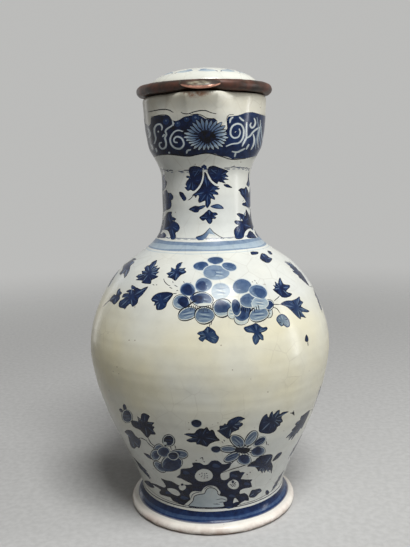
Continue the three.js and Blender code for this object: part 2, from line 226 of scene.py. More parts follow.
def lobed(length, width, lobes, widest):
    """The outline of a leaf with pointed fingers, from its stalk at the origin to its tip along x."""
    turns = finger_turns(lobes, widest)
    step = turns[1] - turns[0]
    points = [(0, 0)]
    for k, turn in enumerate(turns):
        grown = 0.97 + 0.1 * math.sin(2.4 * k + 3 * length)
        lean = -0.2 * step * np.sign(turn)
        for offset, share in ((-0.27, 0.9), (0.0, 1.0), (0.27, 0.88)):
            points.append(blade_point(length, width, widest, turn + offset * step + lean, share * grown))
        if turn != turns[-1]:
            notch = 0.72 + 0.06 * math.sin(3.1 * k)
            points.append(blade_point(length, width, widest, turn + 0.5 * step, notch))
    return smooth_path(points, 3, closed=True)


def signed_area(outline):
    """The area inside an outline, negative if it runs clockwise."""
    x, y = outline.T
    return 0.5 * (np.dot(x, np.roll(y, -1)) - np.dot(y, np.roll(x, -1)))


def outward_normals(outline):
    """Unit normals out of a closed outline at its points."""
    outline = np.asarray(outline, float)
    before, after = outline - np.roll(outline, 1, axis=0), np.roll(outline, -1, axis=0) - outline
    normals = [
        np.column_stack([way[:, 1], -way[:, 0]]) / np.maximum(np.hypot(*way.T), 1e-9)[:, None]
        for way in (before, after)
    ]
    outward = sum(normals)
    outward /= np.maximum((outward * normals[0]).sum(axis=1), 0.5)[:, None]
    return outward if signed_area(outline) > 0 else -outward


LENS = 46.07
SENSOR_WIDTH = 36
PHOTO_SIZE_PX = (410, 547)
CAMERA_STAND = (0, -0.430, 0.2128)
CAMERA_TURN = math.radians(2.7)
CAMERA_YAW = math.radians(0.26)
CAMERA_TILT = math.radians(8.78)
CAMERA_ROLL = math.radians(-1.31)
NEAREST_SIGHT = 330
FARTHEST_SIGHT = 520
camera_view = (
    Matrix.Rotation(CAMERA_TURN, 4, "Z")
    @ Matrix.Translation(CAMERA_STAND)
    @ Matrix.Rotation(CAMERA_YAW, 4, "Z")
    @ Matrix.Rotation(math.pi / 2 - CAMERA_TILT, 4, "X")
    @ Matrix.Rotation(CAMERA_ROLL, 4, "Z")
)


def from_photo(spots_px):
    """Angle and height on the jug's outside of places named by the photograph's pixels."""
    x, y = np.asarray(spots_px, float).T
    focal_px = LENS / SENSOR_WIDTH * max(PHOTO_SIZE_PX)
    aim = np.column_stack([x - PHOTO_SIZE_PX[0] / 2, PHOTO_SIZE_PX[1] / 2 - y, np.full(len(x), -focal_px)])
    aim = aim @ np.array(camera_view.to_3x3()).T
    aim /= np.linalg.norm(aim, axis=1)[:, None]
    reach = np.linspace(NEAREST_SIGHT, FARTHEST_SIGHT, 2400)[:, None, None]
    where = np.array(camera_view.translation) / MM + reach * aim
    outside = jug_form.outside
    radius = np.interp(where[..., 2], jug_form.height[outside], jug_form.radius[outside])
    gap = np.hypot(where[..., 0], where[..., 1]) - radius
    first = np.where(gap.min(axis=0) < 0, np.argmax(gap < 0, axis=0), np.argmin(gap, axis=0))
    x, y, z = where[first, np.arange(len(aim))].T
    return np.column_stack([np.degrees(np.arctan2(x, -y)), z])


class Painting:
    """Outlines painted on an unrolled form, in its own flat millimetres. The last one down shows."""

    def __init__(self, form):
        self.form = form
        self.turn = 0
        self.farthest = 90
        self.axis = None
        self.outlines = []
        self.inks = []

    def traced(self, spots_px):
        """Flat places of an outline named by the photograph's pixels, turned or mirrored round the jug."""
        angle, height = from_photo(spots_px).T
        angle = np.clip(angle, -self.farthest, self.farthest)
        if self.axis is not None:
            angle = 2 * self.axis - angle
        return self.form.flat(angle + self.turn, height)

    def traced_fill(self, spots_px, ink, deep=None, way_px=None):
        """A filled outline whose places, and the way along which its ink deepens, are photograph pixels."""
        way = None if way_px is None else self.traced(way_px)
        self.fill(self.traced(spots_px), ink, deep, way)

    def traced_strokes(self, lines_px, width, ink, taper=0.6):
        """Single pulls of one brush; places and width in photograph pixels."""
        for places in lines_px:
            self.traced_fill(ribbon(hand_line(places, 4), width, taper), ink)

    def traced_leaf(self, spots_px, ink, light, rim=0.55):
        """A dark leaf with a black edge, and light and black lines combed through its fingers."""
        spots = np.array(spots_px, float)
        outline = smooth_path(spots, 3, closed=True)
        self.traced_fill(outline, min(1.22, ink + 0.26))
        heart = spots.mean(axis=0)
        far = np.hypot(*(spots - heart).T)
        size = far.mean()
        inner = outline - rim * outward_normals(outline)
        self.traced_fill(inner, ink + 0.06, ink - 0.12, [spots[0], 2 * heart - spots[0]])
        if size < 5:
            return
        for k, spot in enumerate(spots):
            before, after = far[k - 1], far[(k + 1) % len(spots)]
            first, last, thick, tone = 0.42, 0.8, 0.5, ink - 0.26
            if far[k] > max(before, after):
                first, last, thick, tone = 0.22, 0.86, 0.45 + 0.05 * size, light
            elif far[k] < min(before, after):
                first, last, thick, tone = 0.4, 1.0, 0.75, 1.24
            elif k % 2:
                continue
            line = heart + np.linspace(first, last, 5)[:, None] * (spot - heart)
            self.traced_fill(ribbon(line, thick, 0.9), tone)

    def traced_petal(self, x, y, across, up, turn, wash, line, core):
        """A washed petal, in photograph pixels: a black outline, a pale rim, a wash and a dark core."""
        spot = np.array([x, y])

        def petal_px(inset):
            return spot + oval(1.05 * across - inset, 1.05 * up - inset, -turn)

        a = math.radians(turn + 90)
        lift = np.array([math.cos(a), -math.sin(a)]) * up
        arrow = [spot - lift, spot + lift]
        if line:
            self.traced_fill(petal_px(0.0), 1.2)
        self.traced_fill(petal_px(line or -0.5), 0.1)
        washed = petal_px(line + (0.7 if line else 0.2))
        self.traced_fill(washed, wash[0] + 0.1, wash[1] + 0.12, arrow)
        along = np.array([math.cos(math.radians(turn)), -math.sin(math.radians(turn))])
        for k, offset in enumerate((-0.5, -0.2, 0.1, 0.42)):
            pull = np.linspace(-0.62, 0.62, 5)[:, None] * across * along
            bow = (offset + 0.1 * np.sin(np.linspace(0, 3, 5) + k))[:, None] * lift
            tone = wash[k % 2] + (0.26 if k % 2 else 0.0)
            self.traced_fill(ribbon(spot + pull + bow, 0.13 * up, 0.9), tone)
        if core:
            dx, dy, size, ink = core
            middle = spot + dx * across * along + dy * lift
            for more, tone in ((1.16, 0.62 * ink + 0.1), (0.95, ink - 0.1)):
                blot = middle + oval(across * size * more, up * size * more, -turn, 0.1)
                self.traced_fill(blot, tone, tone + 0.14, arrow)

    def fill(self, outline, ink, deep=None, way=None, kind="ink"):
        """A closed outline of even ink, or of ink that deepens along a way from one place to another."""
        outline = np.asarray(outline, float)
        start, end = np.array(way if way is not None else (outline[0], outline[0] + [1.0, 0.0]))
        if signed_area(outline) < 0:
            outline = outline[::-1]
        turn = 2 * self.form.half_width
        for shift in (0.0, turn, -turn):
            part = outline + [shift, 0.0]
            for side in (-1, 1):
                part = self.kept_side(part, side)
            if len(part) < 3 or signed_area(part) <= 0.01:
                continue
            part = self.from_a_corner(part)
            if part is not None:
                shifted_way = (start[0] + shift, start[1], end[0] + shift, end[1])
                self.outlines.append(part)
                self.inks.append((kind, ink, ink if deep is None else deep, *shifted_way))

    def from_a_corner(self, outline):
        """The outline ending at an outermost corner that turns left, whose left side is surely inside."""
        for outward in ((1, 0), (-1, 0), (0, 1), (0, -1)):
            k = int(np.argmax(outline @ np.array(outward)))
            before, after = outline[k] - outline[k - 1], outline[(k + 1) % len(outline)] - outline[k]
            if before[0] * after[1] - before[1] * after[0] > 1e-6:
                return np.roll(outline, -(k + 1), axis=0)
        return None

    def kept_side(self, outline, side):
        """The part of an outline on the near side of the sheet's left or right edge."""
        limit = self.form.half_width
        if len(outline) == 0 or np.all(side * outline[:, 0] <= limit):
            return outline
        kept = []
        for point, after in zip(outline, np.roll(outline, -1, axis=0)):
            inside, next_inside = side * point[0] <= limit, side * after[0] <= limit
            if inside:
                kept.append(point)
            if inside != next_inside:
                kept.append(point + (after - point) * (side * limit - point[0]) / (after[0] - point[0]))
        return np.array(kept)

    def lay(self, shape, base, tip=None):
        """Flat places of a shape in millimetres at a base, its x turned towards the tip if there is one."""
        shape = np.asarray(shape, float)
        start = self.form.flat(*base)[0]
        if tip is not None:
            way = self.way(base, tip)
            way /= np.hypot(*way)
            shape = shape @ np.array([way, (-way[1], way[0])])
        y = start[1] + shape[:, 1]
        return np.column_stack([start[0] + shape[:, 0] / self.form.stretch(y), y])

    def way(self, base, tip):
        """Millimetres right of and above the base at which the tip lies."""
        start, end = self.form.flat(*base)[0], self.form.flat(*tip)[0]
        return (end - start) * [self.form.stretch(end[1]), 1]

    def stroke(self, places, width, ink=1.25, taper=0.6):
        """One pull of the brush through places of angle and height."""
        origin = places[0]
        points = [self.way(origin, place) for place in places]
        self.fill(self.lay(ribbon(hand_line(points, 5), width, taper), origin), ink)

    def leaf(self, base, tip, width, lobes, widest=0.4, ink=0.95, light=0.55):
        """A dark leaf with combed lighter streaks between black lines, or a plain one without lobes.

        The width is from its rib to its edge.
        """
        length = float(np.hypot(*self.way(base, tip)))

        def laid(points):
            return self.lay(points, base, tip)

        ends = laid([(0, 0), (length, 0)])
        if not lobes:
            plain = ribbon(np.column_stack([np.linspace(0, length, 12), np.zeros(12)]), 2 * width, 1.0)
            self.fill(laid(plain), ink + 0.1, ink - 0.05, ends)
            return
        outline = lobed(length, width, lobes, widest)
        heart = np.array([widest * length, 0.0])
        self.fill(laid(outline), min(1.2, ink + 0.22))
        self.fill(laid(heart + (outline - heart) * (1 - 0.32 / width)), ink + 0.08, ink - 0.14, ends)
        turns = finger_turns(lobes, widest)
        step = turns[1] - turns[0]
        combed = (
            (0.5, 0.25, 0.76, 0.32, 1.22),
            (0.08, 0.4, 0.86, 0.3, light),
            (-0.24, 0.5, 0.76, 0.16, light + 0.1),
        )
        for k, turn in enumerate(turns):
            for offset, first, last, thick, tone in combed:
                if tone > 1 and turn == turns[-1] or tone < 1 and k % 3 == 2:
                    continue
                shares = np.linspace(first, last, 5)
                line = [blade_point(length, width, widest, turn + offset * step, share) for share in shares]
                self.fill(laid(ribbon(line, thick + 0.03 * width, 0.9)), tone)

    def petal(self, centre, across, up, turn, wash):
        """A washed petal: a black outline, a pale rim and a wash that deepens, streaked by the brush."""
        across, up = 1.12 * across, 1.12 * up
        line, rim = 0.36, 0.5
        a = math.radians(turn + 90)
        arrow = np.array([(-up * math.cos(a), -up * math.sin(a)), (up * math.cos(a), up * math.sin(a))])
        self.fill(self.lay(oval(across, up, turn), centre), 1.22)
        self.fill(self.lay(oval(across - line, up - line, turn), centre), 0.1)
        washed = oval(across - line - rim, up - line - rim, turn)
        self.fill(self.lay(washed, centre), *wash, self.lay(arrow, centre))
        pull = np.linspace(-0.6, 0.6, 5) * across
        for k, offset in enumerate((-0.5, -0.22, 0.08, 0.4)):
            places = np.column_stack([pull, offset * up + 0.06 * up * np.sin(pull + k)])
            streak = ribbon(turned(places, turn), 0.11 * up, 0.9)
            self.fill(self.lay(streak, centre), wash[k % 2] + (0.12 if k % 2 else -0.1))

    def dots(self, centre, reach, count, size, ink, seed):
        """A scatter of small touches round a place."""
        chance = np.random.default_rng(seed)
        for k in range(count):
            far = reach * math.sqrt((k + 0.5) / count)
            turn = 2.4 * k + 0.5 * chance.random()
            spot = oval(size * (0.8 + 0.5 * chance.random()), size, 0, 0.1, 7)
            self.fill(self.lay(spot + [far * math.cos(turn), far * math.sin(turn)], centre), ink)

    def band(self, low, high, ink, deep, waver):
        """A band all round, with the slight waver of a loaded brush on a turning wheel."""
        angles = np.linspace(-180, 180, 145)
        turn = np.radians(angles)
        lower = low + waver * (np.sin(3 * turn + low) + 0.6 * np.sin(7 * turn + 2 * low))
        upper = high + waver * (np.sin(4 * turn + high) + 0.6 * np.sin(9 * turn + high))
        bottom, top = self.form.flat(angles, lower), self.form.flat(angles, upper)[::-1]
        middle = len(angles) // 2
        self.fill(np.vstack([bottom, top]), ink, deep, (bottom[middle], top[middle]))


jug_painting = Painting(jug_form)

# Foot and shoulder bands. Broad turned bands of blue on the foot's slope and below the neck,
# each with a fine dark line beside it, drawn with the jug spinning on the wheel.
for low, high, ink, deep, waver in (
    (6.0, 12.0, 0.82, 0.98, 0.12),
    (7.2, 8.6, 0.66, 0.7, 0.25),
    (13.4, 14.0, 1.15, 1.15, 0.08),
    (164.6, 169.5, 0.34, 0.4, 0.12),
    (165.4, 167.5, 0.2, 0.24, 0.25),
    (163.3, 163.7, 0.1, 0.1, 0.1),
    (171.2, 171.55, 0.8, 0.8, 0.1),
):
    jug_painting.band(low, high, ink, deep, waver)


# Collar frieze. A navy ground with scrolls kept white in it and a large daisy under the lip, with
# loose black lines over its wavy top edge. The back of the collar carries the same again.
def collar_frieze(turn):
    paint = jug_painting
    paint.turn = turn
    ground_px = [
        (148, 126), (149.8, 124), (150, 117.6), (158, 115.2), (165, 115), (169.5, 116.5), (172, 120.4),
        (176, 121), (180, 119.6), (184, 117), (190, 115.8), (197, 114.6), (201, 116), (205, 118.6),
        (209, 119.2), (213.5, 118.6), (215.6, 120.5), (216, 126), (218, 131), (220.5, 132.6), (224, 131),
        (227.4, 129), (227.2, 119), (228, 116.6), (238, 115.4), (247, 112.4), (253, 112), (258, 113.4),
    ]
    base_px = [
        (248, 158), (232.5, 159), (228, 157), (221, 156), (215, 153.8), (208, 153.2), (202, 153.4),
        (196, 154.6), (189, 156), (168, 154.2), (158, 154.6), (152.5, 156.4),
    ]
    top, bottom = from_photo(ground_px), from_photo(base_px)
    left, right = [(-90, 241), (-78, 241.4), (-73, 238)], [(90, 241.2), (90, 217.6)]
    ground = np.vstack([left, top, right, bottom, [(-90, 218.4)]]) + [turn, 0]
    paint.fill(paint.form.flat(*ground.T), 1.12, 0.92, paint.form.flat([turn - 30, turn + 40], [229, 229]))
    lines_px = [
        [(147, 112), (155, 110.3), (163, 109.3), (169, 110.2), (173.5, 112.6)],
        [(150, 117), (156, 115.6), (163, 114.4), (168, 115.8), (170.5, 118.6)],
        [(181.5, 112.2), (184, 113.6), (189, 114), (195, 112), (201, 110.8), (206, 111), (211, 113),
         (215.8, 114)],
        [(191, 115), (198, 114.2), (203, 116), (206, 118), (210, 118.8), (214, 118.8), (216, 121),
         (216.4, 125.4), (218, 130.4), (220.4, 132.2)],
        [(221, 132.4), (224.4, 130.8), (227.4, 129), (226.9, 122), (227, 117), (229.4, 114.8),
         (234, 114.4)],
        [(150, 155), (153, 156.6), (160, 154.8), (170, 154.4), (188, 156.2), (197, 154.6), (208, 153.2),
         (220, 156), (232, 159.4), (246, 158.4)],
    ]
    for places, width in zip(lines_px, (1.1, 0.6, 1.0, 0.9, 0.7, 1.2)):
        paint.traced_strokes([places], width, 1.26, 0.4)
    curls_px = [
        [(153.4, 144), (155, 139), (153.9, 133), (154, 128), (156, 125), (159.4, 124.2), (161.6, 127),
         (161, 130.4)],
        [(174.4, 123), (171, 126.2), (167, 128.6), (165, 131.2), (165.8, 134.4), (164.4, 138),
         (165.5, 142.4), (165, 147), (161.6, 148.8), (159, 146.6), (158.8, 143.4), (161.2, 142.4)],
        [(172.4, 120.6), (173.2, 125.6)], [(161.6, 136.8), (164.2, 134.2)], [(155.2, 148), (156, 152.4)],
        [(183, 131.4), (178, 130.4), (173.4, 132.4), (169.9, 138), (170.6, 144), (174.6, 148), (180, 148.6),
         (183.4, 145), (183, 141), (180.4, 137.6), (176, 136.8), (173.6, 139.2), (174.2, 142),
         (177.4, 142.6)],
        [(186.4, 153.6), (187.2, 150.8), (190.8, 149.6)], [(168, 152), (169.4, 153.4)],
        [(147, 128), (149.4, 133), (148, 138)], [(157, 131.4), (158.4, 131.8)],
        [(150.4, 144), (152, 149.4)], [(235.4, 131.6), (235.8, 132.2)],
        [(239.2, 128.6), (240.4, 132.4), (238.6, 136.8), (234, 137.8), (230.8, 134.4), (231, 129),
         (233.4, 125.4), (237.6, 123.7), (241.6, 125), (243.8, 129.4), (243.8, 135), (242.2, 139.6),
         (238.6, 143), (232, 144), (226, 146.4)],
        [(229.8, 123), (230.8, 119), (233.4, 117)], [(239.6, 117), (242, 119.4), (244.4, 121)],
        [(247, 122), (246.6, 130), (246.8, 137), (244.4, 142), (242.4, 146.4)],
        [(246.8, 138.2), (250.4, 136), (253.4, 132), (257.6, 128.6), (262, 127)],
        [(253.6, 134), (254.8, 139), (254, 144.6), (251.4, 149.6)],
        [(254.4, 118), (255.8, 122), (254.6, 126), (252, 127.8), (250.4, 125.2), (251.6, 122.6)],
        [(249.4, 144), (246.4, 149.4)], [(232, 151.4), (237, 152.2), (241.4, 150.4), (245.4, 148.4)],
        [(236, 152), (234.6, 157)], [(223.4, 133.6), (225.4, 132.8), (226, 135)],
    ]
    paint.traced_strokes(curls_px, 2.7, 0.72, 0.45)
    paint.traced_strokes(curls_px, 1.7, 0.1, 0.45)
    for k, (x, ink) in enumerate(((257.4, 0.3), (259.6, 0.1), (261.4, 0.4), (262.8, 0.25))):
        wave = [(x + 1.3 * math.sin(0.16 * y + k), y) for y in range(117 + 3 * k, 152 - 2 * k, 4)]
        paint.traced_strokes([wave], 0.9, ink, 0.5)
    for x, y, size in ((165.4, 121.4, 3.4), (177.6, 124, 3.0), (195.8, 118.4, 4.0), (187, 119.6, 2.8)):
        paint.traced_fill(oval(size + 0.5, size + 0.3) + [x, y], 1.25)
        paint.traced_fill(oval(size, size - 0.2) + [x, y], 0.84, 1.0)
        paint.traced_fill(oval(0.3 * size, 0.26 * size) + [x, y - 0.8], 0.5)
    daisy = np.array([206.5, 136.6])
    petal_count = 27
    for k in range(petal_count):
        way = 2 * math.pi * (k + 0.3) / petal_count
        height = 18 if math.sin(way) < 0 else 14.2
        reach = (1 + 0.06 * math.sin(5 * k)) * np.array([22.4 * math.cos(way), height * math.sin(way)])
        line = daisy + np.linspace(0.3, 1, 7)[:, None] * reach
        pale = 0.32 if math.sin(way) < -0.4 else 0.08
        paint.traced_fill(ribbon(line, 4.2, 0.75, 0.2), 1.24)
        inner = ribbon(daisy + (line - daisy) * 0.97, 2.5, 0.75, 0.2)
        paint.traced_fill(inner, 0.6, pale, [line[1], line[-1]])
    core_px = [
        (198, 136.6), (199, 133), (202.4, 130.6), (207.4, 130.2), (211.4, 131.6), (215, 134.4), (216, 138),
        (212.4, 141.4), (207, 143.8), (202.8, 142.2),
    ]
    paint.traced_fill(smooth_path(core_px, 3, closed=True), 1.12, 1.25)
    stamen_count = 18
    for k in range(stamen_count):
        way = 2 * math.pi * k / stamen_count
        tip = (1 + 0.14 * math.sin(7 * k)) * np.array([12.6 * math.cos(way), 9.6 * math.sin(way)])
        paint.traced_fill(ribbon([daisy + tip * share for share in (0.5, 0.8, 1)], 1.6, 0.6), 1.2)
    paint.turn = 0


for turn in (180, 0):
    collar_frieze(turn)


# Neck. A hanging spray of dark leaves under a loose line, below the lip and again at the back, and
# on the neck's sides columns of broad leaves that spread above the shoulder band.
COLUMN_AXIS = 74


def neck_spray(turn):
    paint = jug_painting
    paint.turn = turn
    leaves_px = [
        [(202.3, 170), (202.6, 176), (201.4, 181), (199, 186), (196, 189.6), (193, 191.2), (190.4, 190),
         (187.6, 191), (184.3, 187.6), (186.2, 186.6), (185.2, 184.4), (186.8, 180.6), (188.6, 178.6),
         (186, 177.6), (186.3, 175.6), (189.4, 176), (188.6, 172.6), (189, 168), (194, 165.8),
         (200.4, 167.2)],
        [(207.5, 172), (209.4, 176), (211.6, 180), (215, 183), (217.6, 184), (218.6, 181.8), (226, 183.6),
         (223, 180.4), (229, 179.6), (224.8, 177.4), (228.8, 176.6), (226, 173.8), (228.6, 171.4),
         (225.4, 169.6), (218, 167), (213, 165.6), (208.4, 167.4)],
        [(204.5, 172), (206.5, 173.5), (208.5, 178.5), (212, 183), (216, 185.8), (219.2, 186.4),
         (217.6, 187.4), (220, 188.4), (218.8, 189.6), (214.6, 190.2), (218, 192.6), (218, 195),
         (213, 194.6), (215, 197.6), (214.6, 199.8), (210.9, 198.8), (210.8, 203), (207.4, 208.2),
         (205.2, 204.6), (205, 200.8), (199.6, 203), (198, 200.6), (199, 196.4), (197.4, 195.4),
         (195.4, 198), (194.4, 196), (192, 195.2), (197.4, 190.6), (200.6, 186.4), (202.8, 180.4),
         (203.4, 174)],
        [(179, 191.8), (182.6, 192.6), (185, 196), (186.2, 199), (183.6, 201.2), (181.2, 198.4),
         (179.2, 195)],
        [(188.4, 209.6), (191, 207.4), (195, 205.8), (199, 206.2), (203, 205.2), (205.8, 205.8),
         (202.6, 208.6), (199.4, 210), (198, 212.2), (194.4, 212.6), (191, 211)],
        [(223.6, 184.4), (227.6, 184.2), (230, 185.6), (232.4, 187.8), (228, 187.6), (225, 186.4)],
        [(209.2, 209.6), (212.6, 212.2), (216, 212.4), (218, 214.6), (214.4, 216), (216.4, 217.4),
         (215, 219), (212.6, 219), (212.4, 221.6), (210, 224.2), (207.4, 222.4), (205.6, 219.6),
         (202.8, 221), (199.2, 217.6), (203.4, 214.2), (206.4, 211.4)],
    ]
    left_column_px = [
        [(162.4, 174.6), (164, 175), (164.4, 179.6), (166.2, 182), (165.4, 186.6), (163.6, 190),
         (161.8, 190), (161.4, 180)],
        [(163.4, 192), (166, 189.8), (167.6, 192.6), (170.4, 193), (173, 196.6), (172, 199.4), (170.6, 201),
         (171.2, 205), (169.2, 209), (165.2, 210.2), (163, 212), (162.4, 200)],
        [(165.2, 214.6), (167, 212.2), (171.2, 211.8), (171, 216), (175.6, 218.6), (174, 220.8),
         (171.4, 220.6), (176.4, 222.6), (179.4, 227.2), (178.2, 231), (175.2, 233), (175.6, 236.6),
         (174, 239.4), (170.6, 239.4), (169.2, 235), (167.6, 231), (164.6, 229.8), (162, 230.4), (162, 226),
         (163.2, 219)],
        [(156.8, 236.4), (160, 233.4), (163.6, 232.6), (165.6, 235.6), (163.6, 237.8), (158.8, 238)],
    ]
    right_column_px = [
        [(249.8, 171), (248.8, 175), (248.2, 180), (246.8, 184.6), (249.4, 187), (250.6, 186),
         (250.7, 176)],
        [(238.4, 190.4), (241, 188.2), (244.6, 188.4), (246.4, 186.6), (248.2, 190), (250, 196),
         (250.6, 204), (249.8, 210), (247.6, 207.2), (243, 205.4), (242.6, 203.2), (246, 202),
         (244.2, 198.4), (241, 194.6), (239.8, 191.6)],
        [(246.4, 209.2), (248.4, 212.4), (250.4, 217), (252.2, 224), (252.6, 227.6), (249, 229),
         (246, 231.4), (244, 237), (241, 239), (236.2, 238.8), (234.4, 234.6), (234, 230), (236.6, 226.6),
         (239.6, 225.2), (236.4, 224.4), (234.4, 222), (236, 220.2), (242.8, 220.8), (239.2, 216.8),
         (236.8, 214.2), (239.2, 213), (243.4, 214.2), (245.6, 215.6)],
        [(247.8, 238), (248.2, 233.2), (250.4, 230.6), (254.4, 234), (257.6, 237.6)],
    ]
    for outline in leaves_px:
        paint.traced_leaf(outline, 1.04, 0.66)
    pale_leaf_px = [
        (210.4, 206.4), (213.4, 204.8), (217.6, 204), (221, 205.2), (224, 208.4), (221, 209),
        (216.4, 208.8), (212.6, 207.8),
    ]
    paint.traced_leaf(pale_leaf_px, 0.6, 0.3, 1.0)
    paint.traced_fill([(201, 166.5), (204, 164.4), (206.6, 166), (207, 169), (204, 170), (201.5, 168.8)], 0.9)
    veins_px = [
        [(203.2, 168.5), (203.3, 175), (202.2, 181), (199.5, 186.5), (195.5, 191.2), (192.5, 193.6)],
        [(207.3, 173), (209.2, 178), (212.5, 182.5), (216, 185), (219.5, 185.6)],
    ]
    left_arcs_px = [
        [(160.4, 233.6), (163.6, 230.6), (166.4, 232), (167.8, 235), (168.4, 238.6)],
        [(164.2, 212.6), (166.4, 210.8), (170, 210.6)],
    ]
    right_arcs_px = [
        [(246.8, 185.6), (249, 189.4), (250.4, 195)],
        [(244.6, 237.8), (246, 232.4), (249.4, 229.6), (253.4, 231.4), (258, 237.4)],
        [(248.4, 207.6), (250.2, 213), (251.4, 219)],
    ]
    paint.traced_strokes(veins_px, 1.6, 0.02, 0.3)
    paint.farthest = COLUMN_AXIS + 1
    columns = ((left_column_px, left_arcs_px, -COLUMN_AXIS), (right_column_px, right_arcs_px, COLUMN_AXIS))
    for leaves, arcs, axis in columns:
        for mirror in (axis, None):
            paint.axis = mirror
            for outline in leaves:
                paint.traced_leaf(outline, 1.0, 0.66)
            paint.traced_strokes(arcs, 1.6, 0.02, 0.3)
    paint.farthest = 90
    tent_px = [
        (209.8, 227.8), (207.4, 231), (203.4, 234.4), (196.4, 236.6), (195.2, 238.4), (198.4, 240.4),
        (203, 240.2), (206.6, 237.4), (209, 233.6), (213, 234.4), (216, 236.4), (212.4, 231.6),
    ]
    paint.traced_fill(tent_px, 0.72, 0.24, [(198, 238), (212, 234)])
    twigs_px = [
        [(195.4, 238), (199, 236.4), (204, 234), (209.8, 227.8)],
        [(209.8, 227.8), (214, 232.6), (219, 236), (224.4, 238.6)],
        [(194, 194.8), (190.5, 198.5), (187.6, 200.4)],
    ]
    paint.traced_strokes(twigs_px, 0.8, 1.2)
    paint.turn = 0


for turn in (180, 0):
    neck_spray(turn)
dash_count = 44
for k in range(dash_count):
    start = -180 + 360 / dash_count * k
    level = 210.6 + 0.5 * math.sin(3 * math.radians(start)) + 0.3 * math.sin(k)
    if k % 7 != 3:
        rise = level + 0.3 * math.sin(2 * k)
        jug_painting.stroke([(start, level), (start + 4, rise), (start + 8, level)], 0.6, 0.95, 0.4)
        jug_painting.stroke([(start + 3, level - 1.0), (start + 8, level - 0.9)], 0.4, 0.7, 0.5)
    jug_painting.stroke([(start, 170.9), (start + 5 + k % 3, 170.8)], 0.28, 0.75)


# Shoulder bouquet. Two broad open blossoms and a smaller one over them, with leaves trailing to
# both sides, a bud and trefoils that hang below. It is the main bouquet, under the lip.
shoulder_leaves_px = [
    [(147.8, 287), (143, 288), (140.5, 289.3), (136, 287.5), (131.5, 285), (130.6, 288.6), (134, 290),
     (129, 289.6), (125.5, 291.6), (128.5, 293.2), (123.5, 293.6), (121.5, 297.5), (124.5, 297.8),
     (119.5, 301), (118, 304.5), (119, 307.5), (123, 308.5), (124.5, 309.3), (126.5, 306.6), (130, 304),
     (132, 307), (135.5, 305), (137.5, 302.5), (138.3, 298.5), (141.5, 295.5)],
    [(150.5, 283.8), (146, 284), (141, 283), (141.5, 280.8), (135, 280.3), (137.5, 278.5), (135.2, 276.6),
     (139.8, 274), (141.5, 274.2), (141.5, 271), (144.5, 270.5), (144, 267.8), (147, 265.3), (149, 265.3),
     (152, 262), (156.5, 260), (155.8, 263.5), (154, 266.5), (157.5, 265.5), (155.8, 268.3), (159.8, 267.5),
     (157, 271.5), (159, 272), (155.5, 275), (158, 276.5), (154.5, 278.8), (151, 280.5)],
    [(175, 281), (171.8, 278.8), (167.2, 277.5), (168.3, 275.5), (166.2, 273.5), (170.5, 271.3),
     (171, 267.5), (175, 269), (175.8, 265.5), (178.5, 263), (182.5, 262.3), (180, 265.5), (179.5, 268.3),
     (185.7, 267.8), (184.2, 269.8), (186, 271.3), (185.5, 273), (181, 275), (178, 278)],
    [(123.8, 278.2), (122.8, 273.5), (119.8, 275), (119, 273), (121.5, 270), (123, 265.5), (126, 263.2),
     (130.5, 260), (133.5, 258), (135.8, 259.3), (132.8, 260.8), (133.8, 262.5), (130.5, 265.5),
     (129.5, 268.5), (128, 272.5)],
    [(108.6, 300.4), (113.5, 294.5), (115.5, 295), (116.8, 290.5), (119.5, 288.5), (119.8, 291),
     (121.5, 292.8), (119.5, 296), (119.5, 298.5), (117, 302), (113.5, 304.8), (111.2, 302.3)],
    [(173, 293.8), (168, 292), (160, 292.5), (154.5, 294.8), (151, 298.8), (152, 301.6), (154.5, 302.3),
     (153.5, 305.8), (155.5, 305.5), (155.8, 309), (157.5, 310.3), (162.5, 309.5), (166, 306.5), (167, 303),
     (171, 298)],
    [(280, 295.5), (276, 292.5), (273, 289.5), (275, 288), (273.3, 285), (275.5, 285.3), (275, 281.5),
     (278, 283.5), (278.8, 280), (280.3, 277.5), (281.5, 279.5), (284, 284), (289.5, 285), (290, 287.3),
     (286.5, 291.5), (292, 293.6), (290, 296.5), (286, 297.8), (282, 297.3)],
    [(280.5, 304.5), (283, 302), (287, 300.5), (292, 300.3), (296.5, 298.5), (299.5, 296.5), (300.5, 300),
     (303.5, 302.3), (301.5, 306.5), (309.5, 310.8), (307.5, 312.5), (301.8, 312.2), (306.5, 317.8),
     (301.5, 317), (301, 319.5), (296.5, 316), (291, 310.5), (286, 306.5)],
    [(256, 323), (260, 325.5), (263, 327.5), (266.5, 326.8), (267.8, 329), (265, 331.5), (261.5, 333),
     (263.5, 336), (263.5, 340.5), (260, 339.5), (258.5, 342.5), (255.5, 345), (253, 341.5), (252.5, 337),
     (254, 333.5), (247.5, 332.5), (244.5, 330), (244, 327.5), (247, 326.3), (252.5, 324.5)],
    [(207.5, 326.5), (211, 328), (215, 331), (216.5, 334.5), (219, 337), (218.5, 340), (216, 343.5),
     (212, 343.3), (208.5, 341.5), (205, 339.5), (202.5, 342), (198.3, 339), (200, 336), (197, 334),
     (199, 331.8), (203, 330.8), (205.5, 328.5)],
    [(260, 258), (261.5, 253.5), (265.5, 254), (269, 257), (272.3, 258.5), (270.5, 262), (267, 263),
     (262, 260.5)],
    [(250.6, 252), (254, 251.4), (258.4, 252), (257.6, 254.2), (252, 254.8)],
    [(267.6, 250.8), (271, 251.4), (272.6, 254.4), (269.8, 254.2)],
    [(305, 338), (306.5, 334.4), (308.6, 338.4), (308.2, 341.8), (305.4, 341.4)],
    [(118.6, 270), (116, 274), (112, 280), (107, 288.4), (110.4, 280), (114.6, 273.4)],
]
for k, outline in enumerate(shoulder_leaves_px):
    jug_painting.traced_leaf(outline, 0.84 if k in (7, 8, 9) else 0.97, 0.52)
